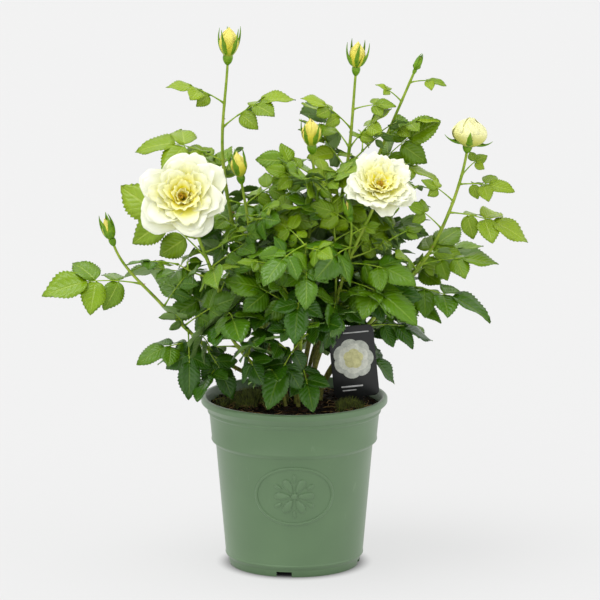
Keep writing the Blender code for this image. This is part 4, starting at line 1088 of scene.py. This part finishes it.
def makeCanes(barkFinish, skinFinish, thornFinish):
    # each cane in two stretches, woody to where its leaves begin and green above
    bark, skin, thorns = bmesh.new(), bmesh.new(), bmesh.new()
    lower, upper = tubeTemplate("lowerCane", 16, 60), tubeTemplate("upperCane", 12, 90)
    side, thread = tubeTemplate("sideShoot", 8, 16), tubeTemplate("twig", 6, 8)
    hook = tubeTemplate("thorn", 8, 4, 0.05)
    for name, plan in canePlans.items():
        route, bare, seed = routes[name], plan["bare"], plan["rule"][3]
        joints = [leaf.share for leaf in foliage[name]]

        def radiusAt(share, x, y):
            run = share * route.length
            swell = sum(exp(-((share - joint) * route.length / wood["nodeMm"])**2) for joint in joints)
            ridges = noise.noise(Vector((x * 2.2, y * 2.2, run / 9 + seed)))
            fine = noise.noise(Vector((x * 6, y * 6, run / 3 + seed)))
            woody = max(0, 1 - share / (bare * 1.6))
            relief = wood["ridge"] * (0.35 + 1.6 * woody) * ridges + wood["fineRidge"] * woody * fine
            return stemRadius(plan, share) * (1 + relief + wood["nodeSwell"] * min(swell, 1))
        for bm, template, start, span in ((bark, lower, 0, bare), (skin, upper, bare, 1 - bare)):
            growTube(bm, template, lambda s: route.at(start + s * span),
                     lambda s, x, y: radiusAt(start + s * span, x, y),
                     lambda s: route.heading(start + s * span))
        growThorns(thorns, hook, route, plan, luckOf(name, "thorns"))
    stems = [(side, shoots[name], form["thick"]) for name, form in sideShoots.items()]
    stems += [(thread, path, wood["twig"]) for grown in twigs.values() for path, _ in grown]
    for template, path, (thick, thin) in stems:
        growTube(skin, template, path,
                 lambda s, x, y: (thick + (thin - thick) * s) * (1 + 0.5 * exp(-s * 20)))
    placePiece("cane_bark", bark, [barkFinish], ["cane_" + name for name in canePlans])
    placePiece("stem_skin", skin, [skinFinish])
    placePiece("thorns", thorns, [thornFinish])


# young bark is olive with grey-brown streaks and dull, green skin above it smooth and waxy, thorns like horn
makeCanes(grainyFinish("young_bark", "#4a4a14", "#86883a", 4, 0.7, 0.3, Specular_IOR_Level=0.3),
          grainyFinish("green_stem_skin", "#6f9210", "#a8ba44", 14, 0.45, 0.05, Specular_IOR_Level=0.3),
          grainyFinish("thorn_horn", "#7c5a2c", "#b58f58", 3, 0.45, 0.05, 0.3))
print("canes and thorns")


# leaves

leaflet = {
    "terminalStart": 0.55, "terminalWidth": 0.32, "lateralGrowth": 1.08, "lateralWidth": 0.69,
    "stalk": 1.8, "stalkThick": 0.45, "midrib": (0.85, 0.5), "thick": 0.32,
    "fold": (0.16, 0.48), "droop": (0.03, 0.2), "curl": (0.1, 0.4), "bend": 0.06, "wave": 0.045,
    "tooth": 0.065, "toothRun": 0.014, "sideArch": 0.14, "sideAge": 0.8,
    "unlike": (0.015, 6, 8), "growth": (0.92, 1.04),  # how far pairs, their spread and their hang stray
    # how young a leaf looks: by its share of the cane, its height, how far out it is, and by chance
    "youth": (0.26, 375, 700, 0.11), "oldBelow": 190, "toneSteps": (0.42, 0.68, 0.9),
}
tones = ("deep", "mid", "bright", "young")


def bladeWidth(v):
    # share of the half width: round at the foot, widest before the middle, drawn out to a point
    swell = sin(pi * min(max(v, 0), 1)**0.8)
    return max(swell, 0)**(0.52 + 0.5 * v) * 0.97 + 0.03


def growLeaflet(bm, template, foot, axis, normal, length, width, luck):
    right = axis.cross(normal)
    fold, droop, curl = (luck.uniform(*leaflet[key]) for key in ("fold", "droop", "curl"))
    phase, bend = luck.uniform(0, 6.3), luck.uniform(-leaflet["bend"], leaflet["bend"])

    def place(u, v, _):
        half, along = width / 2 * bladeWidth(v), v
        if abs(u) > 0.99 and 0.06 < v < 0.97:
            tooth = 1 if round(v * 24) % 2 == 0 else -0.6
            half *= 1 + leaflet["tooth"] * tooth
            along += leaflet["toothRun"] * tooth
        x = u * half + bend * length * v * v
        z = fold * abs(u) * half - curl * u * u * half * 0.6 - droop * length * v * v
        z += leaflet["wave"] * width * abs(u) * sin(9 * v + phase + (2 if u > 0 else 0))
        return foot + right * x + axis * (along * length) + normal * z
    growCopy(bm, template, place)


def growCompound(leaf, blades, ribs, templates, luck):
    # one compound leaf: midrib, short stalks and leaflets on the solid leaf's own frames
    blade, rib, stalk = templates
    end, (low, high) = leaflet["terminalStart"], leaflet["midrib"]
    growTube(ribs, rib, lambda s: leaf.at(s * end),
             lambda s, x, y: (low + (high - low) * s) * (1 + 0.9 * exp(-s * 14)),
             lambda s: leaf.frame(s * end)[0])
    start, last = leaf.at(end), leaf.at(1) - leaf.at(end)
    axis = last.normalized()
    side = axis.cross(leaf.frame(end)[2]).normalized()
    growLeaflet(blades, blade, start - axis, axis, side.cross(axis), last.length + 1,
                leaf.length * leaflet["terminalWidth"], luck)
    forms = list(zip(leafRule["lateralLength"], leafRule["lateralSpread"], leafRule["lateralHang"]))
    slip, swing, sag = leaflet["unlike"]
    for pair, (size, spread, hang) in zip(leaf.pairs, forms[-len(leaf.pairs):]):
        for hand in (1, -1):
            share = pair + luck.uniform(-slip, slip)
            forward, left, normal = leaf.frame(share)
            turn = radians(spread + luck.uniform(-swing, swing))
            fall = radians(hang + luck.uniform(-sag, sag))
            out = left * hand * cos(fall) - normal * sin(fall)
            axis = forward * cos(turn) + out * sin(turn)
            across = forward * sin(turn) - out * cos(turn)
            up = across.cross(axis) * hand
            length = leaf.length * size * leaflet["lateralGrowth"] * luck.uniform(*leaflet["growth"])
            foot = leaf.at(share)
            start = foot + axis * leaflet["stalk"]
            growTube(ribs, stalk, lambda s: foot.lerp(start, s), lambda s, x, y: leaflet["stalkThick"],
                     lambda s: axis)
            growLeaflet(blades, blade, start - axis * 0.5, axis, up.normalized(), length - leaflet["stalk"],
                        length * leaflet["lateralWidth"], luck)


def toneOf(leaf, luck):
    # young leaves stand at the tips of the canes, high up and far out, old ones deep inside
    place = leaf.at(0.6)
    byShare, byHeight, bySide, chance = leaflet["youth"]
    youth = (byShare * leaf.share + (place.z - leaflet["oldBelow"]) / byHeight + abs(place.x) / bySide
             + luck.uniform(-chance, chance))
    return tones[bisect.bisect(leaflet["toneSteps"], youth)]


def makeLeaves(upperFinishes, underFinish, ribFinish):
    templates = (gridTemplate("leafBlade", 4, 6, 3), tubeTemplate("leafRib", 5, 7),
                 tubeTemplate("leafStalk", 4, 1))
    blades = {tone: bmesh.new() for tone in tones}
    ribs = bmesh.new()

    def grow(leaf):
        growCompound(leaf, blades[toneOf(leaf, luck)], ribs, templates, luck)
    for name, leaves in foliage.items():
        luck = luckOf(name, "leaflets")
        for leaf in leaves + [leaf for _, grown in twigs[name] for leaf in grown]:
            grow(leaf)
    luck = random.Random(seeds["sideLeaves"])
    for name, form in sideShoots.items():
        for share, azimuth, rise, length in form["leaves"]:
            grow(Leaf(shoots[name](share), azimuth, rise, length, leaflet["sideArch"], luck.uniform(-20, 20),
                      length < leafRule["smallLeaf"], leaflet["sideAge"]))
    masses = ["foliage_" + name for name in canePlans]
    for tone, finish in zip(tones, upperFinishes):
        thicken(placePiece("leaves_" + tone, blades[tone], [finish, underFinish], masses,
                           closed=False), leaflet["thick"], -1, 1)
    placePiece("leaf_ribs", ribs, [ribFinish])


# old leaves are dark and glossy, young ones yellower and softer, and the underside is pale and matt
makeLeaves([leafFinish("leaf_deep", "#183e00", "#386600", "#5c7e1c", 0.3),
            leafFinish("leaf_mid", "#366200", "#5e8700", "#7c9c30", 0.31),
            leafFinish("leaf_bright", "#567c00", "#7e9e02", "#98b040", 0.35),
            leafFinish("leaf_young", "#6a8a02", "#8ea80c", "#a8bc48", 0.37)],
           leafFinish("leaf_underside", "#638638", "#86a45c", "#9cb276", 0.55),
           grainyFinish("leaf_stalk_skin", "#6c9408", "#a6c038", 8, 0.45, 0.04, Specular_IOR_Level=0.3))
print("leaves")


# open roses, the half-open rose and the buds

blooms = {
    # count, length, width, first and last angle from the axis, seat radius and height, cup, tone;
    # lengths in shares of the flower's radius
    "rows": ((5, 0.99, 0.94, 62, 96, 0.07, 0.16, 0.06, 0), (5, 0.96, 0.88, 56, 87, 0.07, 0.18, 0.1, 0),
             (6, 0.88, 0.72, 52, 78, 0.07, 0.2, 0.16, 0), (7, 0.78, 0.56, 47, 67, 0.07, 0.21, 0.24, 1),
             (8, 0.66, 0.46, 42, 58, 0.06, 0.22, 0.3, 1), (9, 0.56, 0.36, 36, 48, 0.06, 0.23, 0.4, 2),
             (8, 0.47, 0.31, 30, 38, 0.05, 0.23, 0.4, 2), (7, 0.36, 0.26, 24, 28, 0.04, 0.23, 0.4, 2)),
    "unrest": (4, 21),
    "open": {"rose_bloom_left": dict(cane="rose_left", radius=47, turn=20, frill=0.012, seed=5),
             "rose_bloom_right": dict(cane="rose_right", radius=38, turn=50, frill=0.04, seed=8),
             "rose_bloom_back": dict(cane="low_back", radius=34, turn=0, frill=0.02, seed=12)},
    # a layer's count, radius, height and rim, and a sepal's first and last angle, length and width
    "half": dict(cane="far_right", turn=35, hip=(-4, 4.8, 12), seat=(4.6, 5.8), layerTurn=31,
                 layers=((5, 17.5, 30, 0.1), (5, 15.6, 32.5, 0.06), (4, 13.5, 33.5, 0), (4, 10, 34, 0),
                         (3, 6, 34.3, 0)),
                 sepals=((84, -14, 30, 14), (96, 30, 24, 7), (102, 104, 20, 6), (100, 90, 20, 6),
                         (94, 34, 24, 7))),
    "stamens": 34, "stamenThick": 0.16, "thick": 0.28, "budThick": 0.25, "sepalThick": 0.3,
}
buds = {  # cane, length, radius, turn, how far its sepals have let go
    "bud_low_left": ("low_left", 28, 6.8, 25, 0.25), "bud_tall_left": ("tall_left", 36, 9.6, 70, 0.85),
    "bud_mid_left": ("mid_left", 31, 8, 100, 0.6), "bud_centre": ("centre", 34, 9.2, 40, 0.9),
    "bud_tall_centre": ("tall_centre", 33, 8, 85, 0.65), "bud_tall_right": ("tall_right", 18, 3.8, 10, 0),
    "bud_back_left": ("back_left", 30, 7.5, 50, 0.5), "bud_back_right": ("back_right", 30, 7.5, 115, 0.5),
}


def turnedBy(stand, azimuth):
    return stand @ Matrix.Rotation(radians(azimuth), 4, "Z")


def axisFrame(place, axis, turn):
    # a frame on a stem's tip, Z along the stem
    return turnedBy(Matrix.Translation(place) @ axis.to_track_quat("Z", "Y").to_matrix().to_4x4(), turn)


def standOn(caneName, turn):
    route = routes[caneName]
    axis = route.heading(1)
    return axisFrame(route.at(1) + axis * 0.3, axis, turn)


def sweep(seat, length, first, last, late=1, steps=14):
    # radius, height and angle along a strip that leaves the axis at one angle and ends at another
    places = []
    r, z = seat
    for step in range(steps + 1):
        angle = radians(first + (last - first) * (step / steps)**late)
        places.append((r, z, angle))
        r += sin(angle) * length / steps
        z += cos(angle) * length / steps
    return places


def onSweep(stand, places, share, x=0, lift=0):
    # a place on such a strip, moved sideways and lifted off its upper side
    run = min(max(share, 0), 1) * (len(places) - 1)
    i = min(int(run), len(places) - 2)
    r, z, angle = (a + (b - a) * (run - i) for a, b in zip(places[i], places[i + 1]))
    return stand @ Vector((r - cos(angle) * lift, x, z + sin(angle) * lift))


def growPetal(bm, template, stand, azimuth, row, radius, frill, luck):
    _, long, wide, first, last, seatRadius, seatHeight, cup, _ = row
    inner = min(max(1 - last / 90, 0), 1)  # the more upright a petal, the less orderly it is
    calm, wild = blooms["unrest"]
    unrest = calm + (wild - calm) * inner
    length = long * radius * luck.uniform(0.92 - 0.14 * inner, 1.04 + 0.1 * inner)
    width = wide * radius * luck.uniform(0.88, 1.12)
    first += luck.uniform(-unrest, unrest)
    last += luck.uniform(-unrest, unrest)
    here = turnedBy(stand, azimuth + luck.uniform(-1, 1) * unrest * 1.3)
    places = sweep((seatRadius * radius, seatHeight * radius), length, first, last, 1.3)
    phase, waves, skew = luck.uniform(0, 6.3), luck.uniform(2.2, 3.4), luck.uniform(-0.1, 0.1)
    tilt, wave = luck.uniform(-0.12, 0.2) * (0.4 + inner), luck.uniform(0.02, 0.04 + 0.1 * inner)
    crease = 0.55 * inner * luck.random()**2  # some inner petals are folded along their middle

    def place(u, v, _):
        spread = sin(pi / 2 * min(1, v / 0.62)) * (1 - 0.2 * max(0, (v - 0.62) / 0.38)**2)
        half = width / 2 * (0.2 + 0.8 * spread)
        run = v * (1 - (0.34 - 0.2 * inner) * abs(u)**(2.2 + 1.6 * inner))
        run -= (0.03 + 0.07 * inner) * exp(-(u / 0.2)**2) * v**8
        run += frill * v**6 * sin(9 * u + phase)
        x = u * half + skew * length * v * v
        lift = cup * x * x / width + tilt * x + wave * width * v**3 * sin(waves * u * 2 + phase)
        lift += crease * abs(x) + 0.05 * inner * length * v**4 * sin(7 * u + phase * 3)
        lift += frill * width * v**5 * sin(11 * u + phase * 2)
        return onSweep(here, places, run, x, lift)
    growCopy(bm, template, place)


def growSepal(bm, template, stand, azimuth, length, width, seat, first, last, luck, late=1):
    # a lance-shaped sepal with a drawn-out tip
    here, places = turnedBy(stand, azimuth), sweep(seat, length, first, last, late)
    skew = luck.uniform(-0.12, 0.12)

    def place(u, v, _):
        half = width / 2 * max(0, 1 - v)**0.9 * (1 + 0.7 * sin(pi * min(1, v * 1.7))) + 0.1
        return onSweep(here, places, v, u * half + skew * length * v * v, 0.9 * half * u * u)
    growCopy(bm, template, place)


def growHip(bm, ball, stand, radius, length):
    def place(x, y, z):
        swell = radius * (1 + 0.25 * z)
        return stand @ Vector((x * swell, y * swell, (z + 1) * length / 2))
    growCopy(bm, ball, place)


def growWrapped(bm, template, stand, azimuth, radius, height, form):
    # a petal that wraps round a closed flower and laps over the one before it
    here = turnedBy(stand, azimuth)
    foot, (begin, span), (start, pinch) = 0.2, form["belly"], form["top"]

    def place(u, v, _):
        run = v * (1 - form["sideDrop"] * abs(u)**1.8)
        full = sin(pi * min(1, begin + run * span))**0.7
        full *= 1 - pinch * (max(0, run - start) / (1 - start))**1.7
        reach = radius * max(0.05, full + form["rim"] * v**7)
        reach *= 1 + 0.05 * u + 0.015 * sin(4 * u + azimuth)
        around = u * form["wrap"] * (0.8 + 0.2 * v) + form["twist"] * v
        level = (foot + (1 - foot) * run) * height
        return here @ Vector((reach * cos(around), reach * sin(around), level))
    growCopy(bm, template, place)


def growBud(petals, sepals, templates, stand, length, radius, letGo, luck):
    petal, sepal, ball = templates
    growHip(sepals, ball, stand @ Matrix.Translation((0, 0, -0.1 * length)), radius * 0.52, length * 0.36)
    core = radius * min(0.98, 0.66 + 0.5 * letGo) - 0.8  # the petals swell as the sepals let go
    for number in range(5):
        loose = letGo if number > 1 else 0  # the two inner petals stay rolled up
        form = dict(sideDrop=0.16 * loose, wrap=1.45, twist=1.1, belly=(0.1, 0.84),
                    top=(0.66, 0.95 - 0.4 * loose), rim=0.1 * loose)
        growWrapped(petals, petal, stand, 144 * number + luck.uniform(-10, 10), core + 0.34 * number,
                    length * (1 - 0.02 * number), form)
    for number in range(5):
        loose = letGo * luck.uniform(0.6, 1.2)
        growSepal(sepals, sepal, stand, 72 * number + luck.uniform(-8, 8),
                  length * luck.uniform(0.95, 1.1) * (1 - 0.2 * letGo), radius * (1.6 - 1.1 * letGo),
                  (radius * 0.42, length * 0.2), 46 + 26 * loose, -32 + 28 * loose, luck, 0.5)


def growHalfOpen(petals, sepals, templates, luck):
    petal, sepal, ball = templates
    half = blooms["half"]
    stand = standOn(half["cane"], half["turn"])
    for layer, (count, reach, high, rim) in enumerate(half["layers"]):
        closed = layer > 2  # the heart is still shut
        for number in range(count):
            azimuth = 360 * number / count + half["layerTurn"] * layer + luck.uniform(-8, 8)
            height = high * luck.uniform(0.97, 1.02)
            form = dict(sideDrop=0.06 if closed else luck.uniform(0.2, 0.32), wrap=1.4 if closed else 0.9,
                        twist=0.15, belly=(0.1, 0.74), top=(0.6, 0.45 + 0.1 * layer), rim=rim)
            growWrapped(petals, petal, stand, azimuth, reach, height, form)
    foot, radius, length = half["hip"]
    growHip(sepals, ball, stand @ Matrix.Translation((0, 0, foot)), radius, length)
    facing = stand.to_3x3().inverted() @ Vector((0, -1, 0))  # one sepal stands up in front
    facing = degrees(atan2(facing.y, facing.x))
    for number, (first, last, long, wide) in enumerate(half["sepals"]):
        growSepal(sepals, sepal, stand, 72 * number + facing, long, wide, half["seat"], first, last, luck)


def growStamens(bm, stand, radius, luck):
    # filaments with anthers, short and golden, deep in the open flower
    stem, anther = tubeTemplate("filament", 4, 3), ballTemplate("anther", 6, 4)
    for _ in range(blooms["stamens"]):
        here, lean = turnedBy(stand, luck.uniform(0, 360)), luck.uniform(2, 30)
        places = sweep((0.4, radius * 0.24), radius * luck.uniform(0.2, 0.27), 0, lean)
        growTube(bm, stem, lambda s: onSweep(here, places, s), lambda s, x, y: blooms["stamenThick"],
                 step=0.05)
        end = onSweep(here, places, 1)
        growCopy(bm, anther, lambda x, y, z: end + Vector((x * 0.5, y * 0.5, z * 0.8)))


def placeThin(name, bm, finishes, replaced, thick):
    bakeModifiers(thicken(placePiece(name, bm, finishes, replaced, closed=False), thick))


def makeBlooms(petalFinishes, budFinish, sepalFinish, stamenFinish):
    petal, sepal = gridTemplate("petal", 12, 10), gridTemplate("sepal", 4, 9)
    templates = gridTemplate("budPetal", 10, 12), sepal, ballTemplate("ball", 16, 10)
    sepals = bmesh.new()
    for name, form in blooms["open"].items():
        luck, radius = random.Random(form["seed"]), form["radius"]
        stand = standOn(form["cane"], form["turn"])
        bm = bmesh.new()
        for place, row in enumerate(blooms["rows"]):
            firstFace = len(bm.faces)
            for number in range(row[0]):
                azimuth = 360 * (number + 0.5 * (place % 2)) / row[0] + luck.uniform(-9, 9) + 13 * place
                growPetal(bm, petal, stand, azimuth, row, radius, form["frill"], luck)
            bm.faces.ensure_lookup_table()
            for face in bm.faces[firstFace:]:
                face.material_index = row[-1]
        placeThin(name + "_petals", bm, petalFinishes, [name], blooms["thick"])
        growHip(sepals, templates[2], stand, radius * 0.13, radius * 0.19)
        for number in range(5):
            growSepal(sepals, sepal, stand, 72 * number + 30, radius * 0.5, radius * 0.16,
                      (radius * 0.1, radius * 0.15), 80, 128, luck)
        bm = bmesh.new()
        growStamens(bm, stand, radius, luck)
        placePiece(name + "_stamens", bm, [stamenFinish])
    bm = bmesh.new()
    growHalfOpen(bm, sepals, templates, random.Random(seeds["halfOpen"]))
    placeThin("rose_half_open_petals", bm, [petalFinishes[3]], ["rose_half_open"],
                blooms["thick"])
    bm = bmesh.new()
    for name, (cane, length, radius, turn, letGo) in buds.items():
        growBud(bm, sepals, templates, standOn(cane, turn), length, radius, letGo, random.Random(len(name)))
    path, (length, radius, turn, letGo) = shoots["fork"], sideShoots["fork"]["bud"]
    stand = axisFrame(path(1), (path(1) - path(0.95)).normalized(), turn)
    growBud(bm, sepals, templates, stand, length, radius, letGo, random.Random(seeds["forkBud"]))
    placeThin("bud_petals", bm, [budFinish], list(buds), blooms["budThick"])
    placeThin("sepals_and_hips", sepals, [sepalFinish], [], blooms["sepalThick"])


# petals are ivory outside, cream further in and yellow at the heart; the half-open rose is still greenish
makeBlooms([petalFinish("petal_ivory", "#ebe664", "#f3f3b4", "#f3f5de"),
            petalFinish("petal_cream", "#f4e80c", "#f4f06c", "#f4f5ce", 0.3),
            petalFinish("petal_yellow", "#f8e000", "#f8ec22", "#f6f3ae", 0.4),
            petalFinish("petal_half_open", "#b6bc2c", "#dedc74", "#eeecae", 0.1)],
           petalFinish("bud_petal", "#aebb2c", "#e2d53a", "#eee070", 0.1, 0.5),
           grainyFinish("sepal_skin", "#4b7a04", "#7fa61c", 6, 0.45, 0.05, Specular_IOR_Level=0.3),
           grainyFinish("stamen_gold", "#8e680c", "#dab024", 2, 0.6, 0.1, 0.4))
print("roses and buds")

bpy.context.view_layer.update()
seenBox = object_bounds()
print("bounds", [tuple(round(v, 4) for v in corner) for corner in (*cadBox, *seenBox)])
